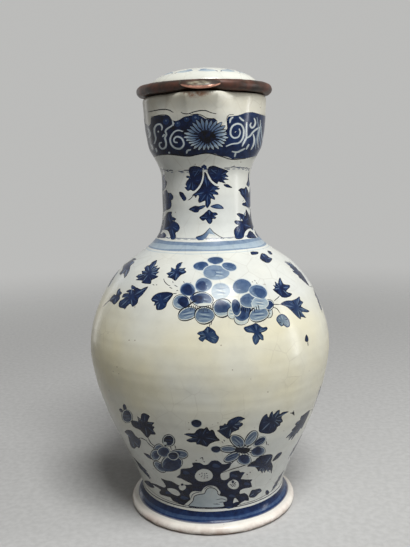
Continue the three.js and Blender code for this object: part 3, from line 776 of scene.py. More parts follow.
pale_leaf_px = [
    (281, 314), (285, 315), (288.5, 318.5), (290, 322), (290, 326), (287, 327.6), (284, 325.5),
    (281.5, 326.5), (278.5, 323.5), (276.5, 320), (277.5, 316.5),
]
jug_painting.traced_leaf(pale_leaf_px, 0.5, 0.34, 1.1)
stems_px = [
    [(102.3, 307), (106, 303), (110, 299.5)], [(152, 284.4), (154, 285.4)],
    [(155.4, 285.2), (156.8, 284.8)], [(163.3, 278.6), (164.4, 282), (167.5, 285), (170, 286)],
    [(172.2, 281.4), (173, 283.2)], [(174, 285.2), (177.5, 287)], [(169, 287.4), (172, 288.6)],
    [(176, 291), (178, 290.4)], [(172.6, 293.8), (176.6, 293.4)], [(210, 323.4), (209.4, 327)],
    [(212, 320.8), (211, 325.4)], [(272, 304), (276, 304.4), (280.6, 304.4)],
    [(272, 307), (277, 308.8), (280.4, 313.4)], [(274, 301), (277, 298.6), (280, 295.6)],
    [(308, 341.6), (308.4, 346)], [(183, 281.4), (184.4, 283)], [(190, 282.4), (190.6, 283.8)],
    [(252, 281.6), (253, 282.2)], [(254.6, 280.4), (255.6, 281.2)], [(256.4, 282.6), (257.4, 283.8)],
    [(259.6, 284.6), (263.6, 287.2)],
]
jug_painting.traced_strokes(stems_px, 0.8, 1.2)
# Two of these petals are washed nearly white, and two pale towards their right, where the highlight falls on
# the shoulder: painted highlight.
petals_px = [
    (201, 266, 7.2, 4.4, 6, (0.42, 0.58), 0.0, (0.1, 0.1, 0.6, 0.7)),
    (215.6, 260.4, 7.4, 3.6, 0, (0.44, 0.6), 0.0, (0.0, -0.3, 0.6, 0.72)),
    (216, 272.6, 12.4, 7.2, 0, (0.2, 0.28), 0.0, (-0.45, -0.1, 0.44, 0.44)),
    (229.4, 266.6, 7.0, 4.0, -12, (0.34, 0.5), 0.0, (0.1, 0.2, 0.5, 0.6)),
    # Washed nearly white under the highlight: painted highlight.
    (220.6, 291.4, 9.0, 8.0, 0, (0.1, 0.18), 0.0, None),
    (187.4, 289.6, 7.2, 6.5, 0, (0.28, 0.4), 0.0, (0.0, -0.1, 0.8, 0.95)),
    (203.4, 285, 8.0, 6.9, 10, (0.26, 0.4), 0.0, (-0.25, -0.1, 0.6, 0.86)),
    (181.2, 302.4, 8.6, 7.6, -10, (0.2, 0.34), 0.6, (0.25, 0.1, 0.6, 1.04)),
    (187.6, 313.8, 10.4, 6.6, 18, (0.26, 0.42), 1.0, None),
    (204.6, 315.4, 10.4, 8.6, 0, (0.3, 0.44), 1.0, None),
    (222.4, 308, 9.8, 9.2, 0, (0.14, 0.28), 1.0, (-0.05, 0.12, 0.66, 0.78)),
    (202, 299.4, 11.2, 7.2, -4, (0.34, 0.6), 0.9, (-0.42, 0.0, 0.52, 0.98)),
    (232.6, 313, 5.4, 6.2, 0, (0.06, 0.12), 0.7, None), (241.4, 318.4, 7.2, 7.0, 0, (0.04, 0.1), 0.7, None),
    (269, 312.6, 4.0, 5.4, 0, (0.05, 0.1), 0.7, None),
    (242.4, 312, 8.6, 8.8, 0, (0.5, 0.66), 0.0, (-0.1, -0.2, 0.6, 0.86)),
    (236.2, 307.4, 4.6, 7.8, 8, (0.5, 0.66), 0.0, (0.0, -0.1, 0.6, 0.9)),
    (259, 314.4, 10.4, 7.4, 12, (0.24, 0.4), 1.0, None),
    (268.6, 304.8, 5.6, 5.2, -20, (0.44, 0.6), 0.5, (0.2, -0.1, 0.6, 0.86)),
    (250, 300.4, 9.8, 6.6, 0, (0.34, 0.46), 0.0, (-0.4, 0.0, 0.5, 0.66)),
    # Also washed nearly white under the highlight: painted highlight.
    (260, 303, 7.6, 6.0, 0, (0.1, 0.2), 0.0, None),
    (242, 286.4, 9.0, 7.1, 0, (0.36, 0.46), 0.0, (0.15, 0.05, 0.6, 0.6)),
    (258.4, 291.6, 9.0, 6.1, -22, (0.3, 0.44), 0.0, (0.2, -0.1, 0.66, 0.72)),
]
for petal in petals_px:
    jug_painting.traced_petal(*petal)
jug_painting.traced_fill(oval(7.4, 1.5, -4) + [204, 304.6], 0.06)
for middle, height, across, count in ((201, 300.2, 13, 13), (249, 301, 11, 10)):
    for k in range(count):
        x = middle + across * (2 * (k + 0.5) / count - 1) * 0.9
        y = height + 6.4 * math.sqrt(max(0, 1 - ((x - middle) / across) ** 2))
        lean = 0.16 * (x - middle)
        fringe = [(x, y), (x + 0.6 * lean, y + 2.4), (x + lean, y + 4.4 + 1.2 * (k % 2))]
        jug_painting.traced_strokes([fringe], 0.85, 1.2)
jug_painting.traced_strokes([[(197, 300.4), (191, 303.4), (185, 308.6)]], 1.6, 1.22, 0.8)


# Lower bouquet. Blossoms and thistle leaves that grow from a pierced garden rock on the ground
# line over the foot, with cream holes and a grey-blue cloud of stone in front.
lower_leaves_px = [
    [(147, 438), (140, 430.5), (133, 427), (130.5, 422.5), (131, 420), (137.4, 422), (137, 416),
     (140, 420.5), (141, 414.5), (144.5, 413.3), (149.5, 416.5), (147.5, 421.6), (154, 422.6), (152, 425.6),
     (154.2, 427.4), (153, 430), (155.6, 434.5), (150.5, 434.8)],
    [(140.6, 440.6), (135.5, 436), (131.5, 431), (127, 430), (124, 432), (127, 435), (128, 438.5),
     (130, 446), (133.4, 449), (136.4, 447), (139, 448.2)],
    [(143, 453), (149.5, 455.5), (151.5, 459.5), (147, 457.4)],
    [(143.4, 481), (148, 481), (152, 484.5), (154, 488), (150, 487.5), (146, 484.5)],
    [(123.4, 410.4), (122.4, 405.4), (124.8, 404.4), (126.4, 409.6)],
    [(120.4, 412.4), (118.6, 409.4), (120.8, 408.6), (123, 411.6)],
    [(220, 440.5), (216, 441.5), (210, 444), (207.5, 446.8), (204, 446.3), (200, 444.8), (196.5, 444.5),
     (195.5, 442.5), (190, 442.6), (186.2, 440.6), (189, 438.8), (192, 437.8), (184, 434.6), (188, 433.3),
     (194, 433.3), (196.5, 430.5), (200, 428.5), (204, 428.8), (207, 427.2), (209.5, 430.8), (211.5, 429.8),
     (214, 431), (216, 436)],
    [(229, 439), (224, 436.5), (219, 432.5), (217, 431), (219.5, 429.5), (219.5, 426), (223, 425.5),
     (225, 423.3), (226.5, 424.5), (228.5, 421), (232, 418.8), (237, 416.8), (241, 416.8), (245.5, 419),
     (242, 420.2), (238.5, 422), (243, 423.3), (242.3, 426), (239.5, 427.8), (238.8, 430), (232, 433)],
    [(260, 432.5), (259, 429), (259.8, 424), (262, 418.5), (264.5, 415.5), (267.3, 414), (268.5, 417.5),
     (271, 412.5), (273, 411.5), (273.5, 414.5), (277, 411), (280, 410), (280, 414), (283.5, 412),
     (289, 411.8), (282, 416.5), (283.3, 421.3), (281, 423.3), (280.3, 425.5), (277.5, 427.3), (276, 430.5),
     (272.5, 433), (268, 434)],
    [(290, 413), (293, 412.3), (294, 410.3), (294.8, 415.5), (292.5, 414)],
    [(247, 466.5), (254, 461.5), (260, 457), (265, 455), (272.8, 454.8), (271.5, 461.5), (273, 466),
     (271.8, 473.8), (270.5, 470), (268, 472), (266.5, 470), (265, 473), (263.5, 470.6), (262.5, 473.5),
     (260.5, 470.8), (258.5, 471.5), (257, 469), (254, 466.8)],
    [(272.5, 461.5), (274.5, 457.5), (278, 453.8), (281.8, 452), (281.8, 454), (279, 457.5), (276, 460)],
    [(249, 497), (251.5, 490.5), (255, 489.6), (260, 488.5), (262, 491), (258.5, 494), (254.5, 497.5)],
    [(266, 491), (268, 490.2), (269.6, 492.4), (268, 495), (265.8, 494)],
]
jug_painting.farthest = 79
for k, outline in enumerate(lower_leaves_px):
    jug_painting.traced_leaf(outline, 1.1 if k in (0, 6) else 1.0, 0.7 if k in (0, 6) else 0.52)
jug_painting.farthest = 90
stems_px = [
    [(147.5, 437.6), (150.6, 443), (155, 447)],
    [(145.6, 440), (149, 444.6), (152.6, 447.4), (154.4, 449.6)],
    [(137, 439), (141, 438.2), (146.5, 440.8)], [(170, 445.6), (171.4, 450.4)],
    [(174.6, 445.2), (176, 449.4)], [(163, 446.4), (167.6, 445.6)], [(228, 467.4), (233, 462), (239, 457)],
    [(222, 473), (232, 469.4), (240, 467), (250, 463.4), (256, 460.4)],
    [(256, 459.6), (260, 457), (264, 453.4)], [(200, 458.6), (202.4, 457.8), (203, 460.4)],
    [(203.4, 461.4), (204.8, 462.4)], [(195.4, 460.4), (196.8, 460.8)], [(221.8, 441.6), (223.4, 443.4)],
    [(223.6, 440), (225, 441.6)], [(266.4, 441), (267, 445)], [(268.2, 444), (268.6, 445.4)],
    [(249.6, 472.4), (251, 472.6)], [(246.8, 474.2), (248, 474.8)],
]
jug_painting.traced_strokes(stems_px, 0.9, 1.2)
rock_px = [
    (150, 483), (156, 484.5), (163, 487.5), (165.5, 486.5), (162.5, 481.5), (160.5, 478.5), (166, 480.5),
    (171.5, 481.5), (178, 485.2), (183, 484.8), (192, 484.5), (186, 481.5), (181.5, 479), (176, 477.3),
    (180, 474.5), (180.5, 469.5), (184, 468.6), (190, 468), (193, 466), (192, 463), (200, 463),
    (203.5, 465), (208, 464.4), (211.5, 461), (218, 460.8), (222, 464), (226, 464.2), (231, 462.8),
    (229.5, 468), (222.5, 472.5), (220.5, 475), (221.5, 479.5), (226, 480), (229.5, 477.5), (229.5, 473),
    (233, 471.3), (239, 470.6), (240.3, 472.2), (245, 472.6), (241, 479.2), (252.3, 479.6), (250.8, 482),
    (252.2, 487), (246, 488.4), (240.5, 490.3), (240, 494), (244.5, 493), (248.5, 496), (248.8, 501),
    (245, 500.6), (240.5, 503.4), (236, 507), (229, 509), (223, 508), (205, 508), (186, 506.5),
    (178, 503.5), (172.5, 501), (170, 497.6), (160.5, 495), (158.8, 492), (160.5, 490), (155, 486.5),
]
jug_painting.traced_fill(smooth_path(rock_px, 2, closed=True), 1.16, 1.06, [(170, 500), (220, 465)])
glints_px = (
    (186, 473, 3.6, 1.6), (216, 466, 4.4, 1.7), (234, 476, 3.4, 1.4), (247, 484, 2.8, 1.5),
    (184, 498, 4.4, 1.6), (168, 493, 3, 1.3), (232, 496, 3, 1.4), (228, 507, 3.4, 0.9),
)
for x, y, across, up in glints_px:
    jug_painting.traced_fill(oval(across, up, 12, 0.1) + [x, y], 0.78)
holes_px = [
    [(167, 489), (170, 488.4), (175, 489.4), (178.5, 491.8), (180, 494.5), (177.5, 496), (173, 494.5),
     (169, 491.8)],
    [(178.6, 486.5), (181, 484.6), (185, 485.6), (185.6, 488.4), (182.5, 490.6), (179.4, 489.4)],
    [(233.2, 503), (235, 498), (238.6, 501.5), (236, 502)],
]
for outline in holes_px:
    jug_painting.traced_fill(smooth_path(outline, 3, closed=True), 0.02)
jug_painting.traced_fill(oval(1.4, 1.2) + [182, 484.8], 1.1)
cloud_px = [
    (189.5, 507.4), (192.5, 501), (193.5, 497), (196, 495), (200, 494), (204, 493.3), (205.5, 490.6),
    (208, 488), (212, 487.6), (215.5, 488.8), (218, 491.5), (219, 494.5), (226, 496.5), (228, 499),
    (227, 502), (224, 503), (222.5, 507.6),
]
halo_px = [
    (185.5, 506.8), (187, 502.5), (190.5, 499.5), (189.5, 495), (193, 491.5), (201, 491.5), (203, 489),
    (206.5, 486.4), (211, 485.8), (216, 487), (219.4, 491), (220, 494), (212, 507.6),
]
jug_painting.traced_fill(smooth_path(halo_px, 3, closed=True), 0.03)
cloud = smooth_path(cloud_px, 4, closed=True)
jug_painting.traced_fill(cloud, 1.2)
jug_painting.traced_fill(cloud - 0.8 * outward_normals(cloud), 0.2, 0.12, [(200, 504), (214, 492)])
cloud_lines_px = [
    [(191, 498.4), (192.6, 494.6), (197, 492.6), (202, 492)], [(216, 500), (222, 499), (227, 500.4)],
    [(219, 502.4), (224, 502)], [(213, 504), (220, 504.4)], [(204, 489.6), (208, 486.8), (213, 486.8)],
]
jug_painting.traced_strokes(cloud_lines_px, 0.7, 0.95)
for x, y, across, up, seed in ((203.8, 475.6, 8.8, 6.5, 4), (233.5, 484.6, 5.8, 4.7, 7)):
    jug_painting.traced_fill(oval(across, up) + [x, y], 0.02)
    jug_painting.dots(tuple(from_photo([(x, y)])[0]), 0.42 * up, 11, 0.4, 1.1, seed)
jug_painting.traced_fill(oval(1.3, 1.6) + [233, 482], 1.0)
jug_painting.traced_strokes([[(227, 489), (226.6, 485), (229, 481.4), (232.4, 480)]], 1.1, 1.1)
petals_px = [
    (196.4, 423.6, 5.3, 3.7, -6, (0.8, 1.0), 0.0, None), (216, 449.4, 5.0, 3.2, 0, (0.85, 1.0), 0.0, None),
    (126.6, 416.4, 5.6, 6.6, 10, (0.62, 0.85), 0.5, None),
    (168.5, 440.6, 6.3, 6.0, 0, (0.85, 1.05), 0.8, None),
    (158.4, 448.6, 5.0, 4.5, 20, (0.4, 0.55), 0.8, None),
    (155.2, 455.2, 5.4, 5.6, 0, (0.34, 0.5), 0.8, (0.2, 0.0, 0.5, 0.9)),
    (159.6, 467, 7.6, 4.2, -38, (0.3, 0.45), 0.9, (0.2, 0.2, 0.5, 0.85)),
    (179, 454.4, 9.0, 5.0, -6, (0.3, 0.42), 0.9, (-0.4, 0.0, 0.5, 0.96)),
    (171.6, 463.4, 10.8, 7.6, 8, (0.5, 0.78), 0.7, (0.0, -0.3, 0.7, 0.98)),
    (163.6, 452.2, 6.6, 5.6, 0, (0.5, 0.75), 0.4, (0.0, 0.0, 0.6, 0.94)),
    (173, 456, 5.0, 3.6, 0, (0.8, 0.95), 0.0, None), (260, 441.6, 7.0, 3.8, 35, (0.6, 0.9), 0.3, None),
    (258.4, 451.8, 7.2, 5.0, 20, (0.3, 0.5), 0.5, (-0.1, 0.2, 0.66, 0.95)),
    (244.4, 460, 7.0, 5.2, 0, (0.3, 0.5), 0.5, (0.0, 0.2, 0.7, 0.95)),
    (232, 457.4, 8.4, 4.4, 26, (0.4, 0.56), 0.9, None),
    (228.4, 449.2, 8.2, 3.8, 0, (0.34, 0.46), 0.9, None),
    (237.6, 441.4, 8.2, 5.8, -36, (0.34, 0.5), 0.9, None),
    (251.4, 438.4, 9.0, 5.0, 50, (0.26, 0.4), 0.9, None),
]
for petal in petals_px:
    jug_painting.traced_petal(*petal)
jug_painting.traced_fill(oval(1.8, 1.5) + [164.8, 443.4], 0.1)
heart = np.array([243.0, 450.4])
jug_painting.traced_fill(heart + oval(7.0, 3.4, 0, 0.1), 1.2)
stamen_count = 15
for k in range(stamen_count):
    way = 2 * math.pi * k / stamen_count
    tip = np.array([9.8 * math.cos(way), 6.2 * math.sin(way)])
    jug_painting.traced_fill(ribbon([heart + tip * share for share in (0.6, 0.85, 1)], 1.1, 0.6), 1.2)
ground_line = [(-62, 17.6), (-44, 15.4), (-16, 14.7), (12, 14.6), (40, 15.0), (66, 17.0)]
jug_painting.stroke(ground_line, 0.4, 1.2, 0.3)


# Side and back sprays. Lighter copies of the same blossoms and leaves, mirrored on both sides of
# the handle, fill the shoulder and the lower belly where the bouquets leave off.
def side_spray(middle, level, side, size):
    """A blossom with its leaves, a bud and a curled tip, mirrored where the side is -1."""
    paint = jug_painting

    def at(dx, dz):
        return (middle + side * dx * size, level + dz * size)

    for angle in range(0, 360, 72):
        way = math.radians(angle + 18)
        centre = at(4.6 * math.cos(way), 4.4 * math.sin(way))
        turn = angle + 18 if side > 0 else 162 - angle
        paint.petal(centre, 3.6 * size, 2.9 * size, turn, (0.3, 0.46))
    paint.fill(paint.lay(oval(2.2 * size, 2.0 * size), at(0, 0)), 1.1)
    for base, tip, width, lobes in (
        ((8, 1), (22, 6), 5.4, 4),
        ((7, -4), (18, -13), 5.0, 3),
        ((-7, 3), (-19, 11), 5.4, 4),
        ((-8, -2), (-21, -7), 5.0, 3),
        ((2, 8), (7, 18), 4.6, 3),
        ((-1, -8), (-4, -17), 4.2, 3),
    ):
        paint.leaf(at(*base), at(*tip), width * size, lobes, 0.44, 0.96, 0.6)
    paint.stroke([at(9, -8), at(20, -3), at(27, -2)], 0.5)
    paint.petal(at(29, -1), 2.8 * size, 3.0 * size, 0, (0.5, 0.75))
    paint.stroke([at(-9, 7), at(-22, 2), at(-28, 4)], 0.5)
    paint.leaf(at(-27, 4), at(-32, 7), 1.6 * size, 0)


for side in (-1, 1):
    side_spray(121 * side, 143, side, 0.95)
    side_spray(126 * side, 50, side, 1.0)
    for k, (angle, height) in enumerate(((96, 22), (108, 19), (142, 22), (156, 19), (170, 24))):
        tip = (side * (angle + 6), height + 9)
        jug_painting.leaf((side * angle, height), tip, 3.0, 2 + k % 2, 0.46, 1.0)
    jug_painting.stroke([(side * 90, 16.6), (side * 130, 15.6), (side * 179, 16.0)], 0.4, 1.2, 0.3)


# Leaves between the sprays and the bouquets. Seven dark leaves that reach from the side sprays
# round to the front, most of them on stems of their own, brushed like all the others.
for base, tip, width, lobes in (
    ((64, 68), (47.2, 54.5), 7.4, 4),
    ((77, 51), (61, 35.5), 4.6, 3),
    ((80, 62), (71, 81), 5.2, 3),
    ((67, 26), (54, 15.8), 3.4, 3),
    ((76, 140), (71, 156), 6.4, 4),
    ((85, 137), (77, 124), 4.4, 3),
    ((-60, 38), (-45, 27.4), 4.4, 3),
):
    jug_painting.leaf(base, tip, width, lobes, 0.46, 1.0, 0.6)
for stem in (
    [(64, 68), (74, 64), (86, 57), (98, 54)],
    [(77, 51), (81, 55), (87, 57)],
    [(80, 62), (84, 60), (86, 57)],
    [(76, 140), (84, 138.6), (92, 143), (95, 147)],
    [(85, 137), (88, 139), (92, 143)],
):
    jug_painting.stroke(stem, 0.5)

# Glaze and bare clay on the jug. Opaque white tin glaze, bluish where thick and cream over the
# belly, finely crazed and glossy. The foot's lower edge is wiped bare, chipped and rust stained.
angles = np.linspace(-180, 180, 181)
edge_turn = np.radians(angles)
bare_edge = 0.9 + 0.35 * np.sin(9 * edge_turn) + 0.3 * np.sin(23 * edge_turn + 1) * np.sin(4 * edge_turn)
bare_top = jug_form.flat(angles, np.clip(bare_edge, 0.25, 1.9))
bare_bottom = np.column_stack([bare_top[:, 0], np.full(len(angles), FOOT_EDGE - 9.0)])
jug_painting.fill(np.vstack([bare_bottom, bare_top[::-1]]), 1.0, kind="clay")


def sheet_rows(stops):
    """Rows of points over a sheet: each stop gives a run, and the row and point gaps up to the next."""
    rows = []
    for (y, row_gap, point_gap), (end, *_) in zip(stops[:-1], stops[1:]):
        count = max(1, round((end - y) / row_gap))
        rows += [(y + (end - y) * k / count, point_gap) for k in range(count)]
    return rows + [(stops[-1][0], stops[-2][2])]


def cut_sheet(painting, rows):
    """Points and triangles of a flat sheet cut along its painting, and each triangle's top outline."""
    form = painting.form
    first_run, last_run = rows[0][0], rows[-1][0]
    grid = []
    for index, (y, gap) in enumerate(rows):
        count = max(3, round(2 * form.half_width / gap))
        xs = np.linspace(-form.half_width, form.half_width, count + 1)
        if index % 2 and index < len(rows) - 1:
            xs = np.concatenate([xs[:1], (xs[:-1] + xs[1:]) / 2, xs[-1:]])
        grid += [(x, y) for x in xs]
    points = [np.array(grid)]
    count = len(grid)
    faces = []
    for outline in painting.outlines:
        points.append(outline)
        faces.append(list(range(count, count + len(outline))))
        count += len(outline)
    flat = np.vstack(points)
    on_seam = np.abs(flat[:, 0]) > form.half_width - 1e-3
    seam = np.round(flat[on_seam, 1], 2)
    for end in (first_run, last_run):
        seam = np.where(np.abs(seam - end) < 0.02, end, seam)
    flat[on_seam, 1] = seam
    levels = np.unique(seam)
    sides = [np.column_stack([np.full(len(levels), side * form.half_width), levels]) for side in (-1, 1)]
    flat = np.vstack([flat, *sides])
    flat[:, 0] = np.clip(flat[:, 0], -form.half_width, form.half_width)
    flat[:, 1] = np.clip(flat[:, 1], first_run, last_run)
    cut = delaunay_2d_cdt([Vector(p) for p in flat], [], faces, 0, 1e-4, True)
    flat = np.array([tuple(p) for p in cut[0]])
    kept = [(face, max(ids, default=-1)) for face, ids in zip(cut[2], cut[5]) if len(face) == 3]
    triangles = np.array([face for face, _ in kept])
    owners = np.array([owner for _, owner in kept])
    return flat, triangles, owners


def new_object(name, data):
    made = bpy.data.objects.new(name, data)
    bpy.context.scene.collection.objects.link(made)
    return made


def painted_piece(name, painting, rows, kinds):
    """A closed mesh of an unrolled form whose faces follow its painting, with the inks in attributes."""
    form = painting.form
    flat, triangles, owners = cut_sheet(painting, rows)
    where = form.place(flat)
    seen = {}
    spots = np.round(where / (2e-3 * MM)).astype(int)
    merged = np.array([seen.setdefault(tuple(spot), i) for i, spot in enumerate(spots)])
    joined = merged[triangles]
    whole = (joined[:, 0] != joined[:, 1]) & (joined[:, 1] != joined[:, 2]) & (joined[:, 0] != joined[:, 2])
    triangles, joined, owners = triangles[whole], joined[whole], owners[whole]
    used, corners = np.unique(joined, return_inverse=True)
    mesh = bpy.data.meshes.new(name)
    mesh.from_pydata(where[used].tolist(), [], corners.reshape(-1, 3).tolist())
    step = 0.05
    across = form.place(flat[used] + [step, 0]) - form.place(flat[used] - [step, 0])
    along = form.place(flat[used] + [0, step]) - form.place(flat[used] - [0, step])
    normals = np.cross(across, along)
    length = np.linalg.norm(normals, axis=1)
    fallback = np.array([vertex.normal[:] for vertex in mesh.vertices])
    normals = np.where(length[:, None] > 1e-13, normals / np.maximum(length, 1e-13)[:, None], fallback)
    spots = flat[triangles.reshape(-1)]
    owner = np.repeat(owners, 3)
    kind_of = np.array([ink[0] for ink in painting.inks] + [""])
    numbers = np.array([ink[1:] for ink in painting.inks] + [(0.0,) * 6])
    for kind in kinds:
        ink, deep, x0, y0, x1, y1 = numbers[owner].T
        way = np.column_stack([x1 - x0, y1 - y0])
        along_way = ((spots - np.column_stack([x0, y0])) * way).sum(axis=1)
        share = along_way / np.maximum((way**2).sum(axis=1), 1e-9)
        values = np.where(kind_of[owner] == kind, ink + (deep - ink) * np.clip(share, 0, 1), 0.0)
        layer = mesh.attributes.new(kind, "FLOAT", "CORNER")
        layer.data.foreach_set("value", values.astype(np.float32))
    unrolled = mesh.uv_layers.new(name="OFBake")
    first_run, last_run = rows[0][0], rows[-1][0]
    size = max(2 * form.half_width, last_run - first_run)
    places = (spots + [form.half_width, -first_run]) / size
    unrolled.data.foreach_set("uv", places.reshape(-1).astype(np.float32))
    mesh.polygons.foreach_set("use_smooth", np.ones(len(mesh.polygons), bool))
    mesh.normals_split_custom_set_from_vertices(normals.tolist())
    return new_object(name, mesh)


def new_material(name):
    material = bpy.data.materials.new(name)
    material.use_nodes = True
    material.node_tree.nodes.clear()
    return material.node_tree, material


def feed(tree, socket, value):
    """Links an input to another node's output, or sets it to a value."""
    if isinstance(value, bpy.types.NodeSocket):
        tree.links.new(value, socket)
    else:
        socket.default_value = value


def node(tree, kind, sockets=None, **settings):
    """A node with its settings, and its inputs set to values or linked to other nodes' outputs."""
    made = tree.nodes.new(kind)
    for name, value in settings.items():
        setattr(made, name, value)
    for name, value in (sockets or {}).items():
        feed(tree, made.inputs[name], value)
    return made


def noise(tree, scale, detail, roughness, vector=None):
    sockets = {"Scale": scale, "Detail": detail, "Roughness": roughness}
    if vector is not None:
        sockets["Vector"] = vector
    return node(tree, "ShaderNodeTexNoise", sockets).outputs["Fac"]


def graded(tree, value, stops):
    """A value turned into a colour by stops of position and colour."""
    ramp = node(tree, "ShaderNodeValToRGB", {"Fac": value})
    elements = ramp.color_ramp.elements
    while len(elements) < len(stops):
        elements.new(0.5)
    for element, (position, colour) in zip(elements, stops):
        element.position = position
        element.color = (*colour, 1)
    return ramp.outputs["Color"]


def ranged(tree, value, low, high, to_low=0.0, to_high=1.0):
    sockets = {"Value": value, "From Min": low, "From Max": high, "To Min": to_low, "To Max": to_high}
    return node(tree, "ShaderNodeMapRange", sockets).outputs["Result"]


def maths(tree, operation, *values):
    made = tree.nodes.new("ShaderNodeMath")
    made.operation = operation
    for socket, value in zip(made.inputs, values):
        feed(tree, socket, value)
    return made.outputs[0]


def product(tree, first, *others):
    for other in others:
        first = maths(tree, "MULTIPLY", first, other)
    return first


def blended(tree, share, first, second, blend_type="MIX"):
    mix = node(tree, "ShaderNodeMix", {0: share}, data_type="RGBA", blend_type=blend_type)
    for socket, colour in ((mix.inputs[6], first), (mix.inputs[7], second)):
        feed(tree, socket, (*colour, 1) if isinstance(colour, tuple) else colour)
    return mix.outputs[2]


def finish_material(tree, sockets, strength, distance, height):
    """The material's surface shader with its inputs and a bump of the height, linked to the output."""
    bump = node(tree, "ShaderNodeBump", {"Strength": strength, "Distance": distance, "Height": height})
    surface = node(tree, "ShaderNodeBsdfPrincipled", {**sockets, "Normal": bump.outputs["Normal"]})
    node(tree, "ShaderNodeOutputMaterial", {"Surface": surface.outputs["BSDF"]})


def effect_group(name, inputs, outputs):
    """An empty shader node group with named inputs and outputs."""
    tree = bpy.data.node_groups.new(name, "ShaderNodeTree")
    for label, kind, value in inputs:
        socket = tree.interface.new_socket(label, in_out="INPUT", socket_type=kind)
        socket.default_value = value
    for label, kind in outputs:
        tree.interface.new_socket(label, in_out="OUTPUT", socket_type=kind)
    return tree, tree.nodes.new("NodeGroupInput").outputs, tree.nodes.new("NodeGroupOutput").inputs


def tin_glaze_group():
    """White glaze with its drift to cream, mottling, pinholes and fine crazing."""
    inputs = [
        ("Cream Low", "NodeSocketFloat", 0.06),
        ("Cream High", "NodeSocketFloat", 0.15),
        ("Cream", "NodeSocketFloat", 1.0),
    ]
    outputs = [
        ("Color", "NodeSocketColor"), ("Roughness", "NodeSocketFloat"), ("Height", "NodeSocketFloat"),
    ]
    tree, given, out = effect_group("tin_glaze", inputs, outputs)
    place = node(tree, "ShaderNodeTexCoord").outputs["Object"]
    height = node(tree, "ShaderNodeSeparateXYZ", {"Vector": place}).outputs["Z"]
    drift = noise(tree, 16.0, 3.0, 0.5, place)
    wander = maths(tree, "MULTIPLY_ADD", drift, 0.05, -0.025)
    level = maths(tree, "ADD", height, wander)
    low = maths(tree, "SUBTRACT", level, given["Cream Low"])
    rise = maths(tree, "SMOOTH_MIN", maths(tree, "DIVIDE", low, 0.03), 1.0, 0.3)
    high = maths(tree, "SUBTRACT", given["Cream High"], level)
    fall = maths(tree, "SMOOTH_MIN", maths(tree, "DIVIDE", high, 0.02), 1.0, 0.3)
    zone = maths(tree, "MAXIMUM", product(tree, rise, fall), 0.0)
    patches = ranged(tree, noise(tree, 26.0, 2.0, 0.5, place), 0.3, 0.7, 0.3, 1.0)
    cream = product(tree, zone, patches, given["Cream"])
    cold = ranged(tree, noise(tree, 19.0, 2.0, 0.5, place), 0.35, 0.65)
    white = blended(tree, cold, (0.72, 0.72, 0.64), (0.69, 0.715, 0.685))
    colour = blended(tree, cream, white, (0.75, 0.695, 0.47))
    mottle = ranged(tree, noise(tree, 120.0, 4.0, 0.6, place), 0.3, 0.7, 0.93, 1.03)
    shade = graded(tree, mottle, [(0.0, (0, 0, 0)), (1.0, (1, 1, 1))])
    colour = blended(tree, 1.0, colour, shade, "MULTIPLY")
    cells = node(tree, "ShaderNodeTexVoronoi", {"Vector": place, "Scale": 95.0}, feature="DISTANCE_TO_EDGE")
    thin = ranged(tree, cells.outputs["Distance"], 0.0, 0.035, 1.0, 0.0)
    where = ranged(tree, noise(tree, 22.0, 2.0, 0.5, place), 0.45, 0.62)
    crazing = product(tree, thin, where, 0.22)
    colour = blended(tree, crazing, colour, (0.30, 0.25, 0.18))
    pits = node(tree, "ShaderNodeTexVoronoi", {"Vector": place, "Scale": 210.0}, feature="F1")
    small = ranged(tree, pits.outputs["Distance"], 0.05, 0.11, 1.0, 0.0)
    chosen = maths(tree, "GREATER_THAN", noise(tree, 75.0, 0.0, 0.5, place), 0.63)
    pit = product(tree, small, chosen, 0.7)
    colour = blended(tree, pit, colour, (0.16, 0.10, 0.06))
    tree.links.new(colour, out["Color"])
    tree.links.new(ranged(tree, noise(tree, 60.0, 2.0, 0.5, place), 0.3, 0.7, 0.17, 0.25), out["Roughness"])
    skin = product(tree, noise(tree, 140.0, 2.0, 0.5, place), 0.6)
    tree.links.new(maths(tree, "SUBTRACT", skin, product(tree, pit, 0.6)), out["Height"])
    return tree


def cobalt_group():
    """Cobalt over the glaze: thin washes stay clear blue, thick brushwork turns navy and black."""
    inputs = [
        ("Ink", "NodeSocketFloat", 0.0),
        ("Glaze", "NodeSocketColor", (0.7, 0.7, 0.7, 1)),
        ("Pooling", "NodeSocketFloat", 0.3),
    ]
    tree, given, out = effect_group("cobalt_painting", inputs, [("Color", "NodeSocketColor")])
    place = node(tree, "ShaderNodeTexCoord").outputs["Object"]
    pool = maths(tree, "SUBTRACT", noise(tree, 330.0, 3.0, 0.6, place), 0.5)
    swing = maths(tree, "MULTIPLY_ADD", product(tree, pool, given["Pooling"]), 2.0, 1.0)
    ink = maths(tree, "DIVIDE", product(tree, given["Ink"], swing), 1.4)
    blues = [
        (0.0, (1, 1, 1)),
        (0.11, (0.66, 0.77, 0.90)),
        (0.21, (0.37, 0.48, 0.66)),
        (0.33, (0.165, 0.25, 0.43)),
        (0.46, (0.06, 0.115, 0.27)),
        (0.60, (0.014, 0.042, 0.155)),
        (0.74, (0.004, 0.014, 0.07)),
        (0.90, (0.003, 0.003, 0.007)),
    ]
    tint = graded(tree, ink, blues)
    tree.links.new(blended(tree, 1.0, given["Glaze"], tint, "MULTIPLY"), out["Color"])
    return tree


tin_glaze = tin_glaze_group()
cobalt = cobalt_group()


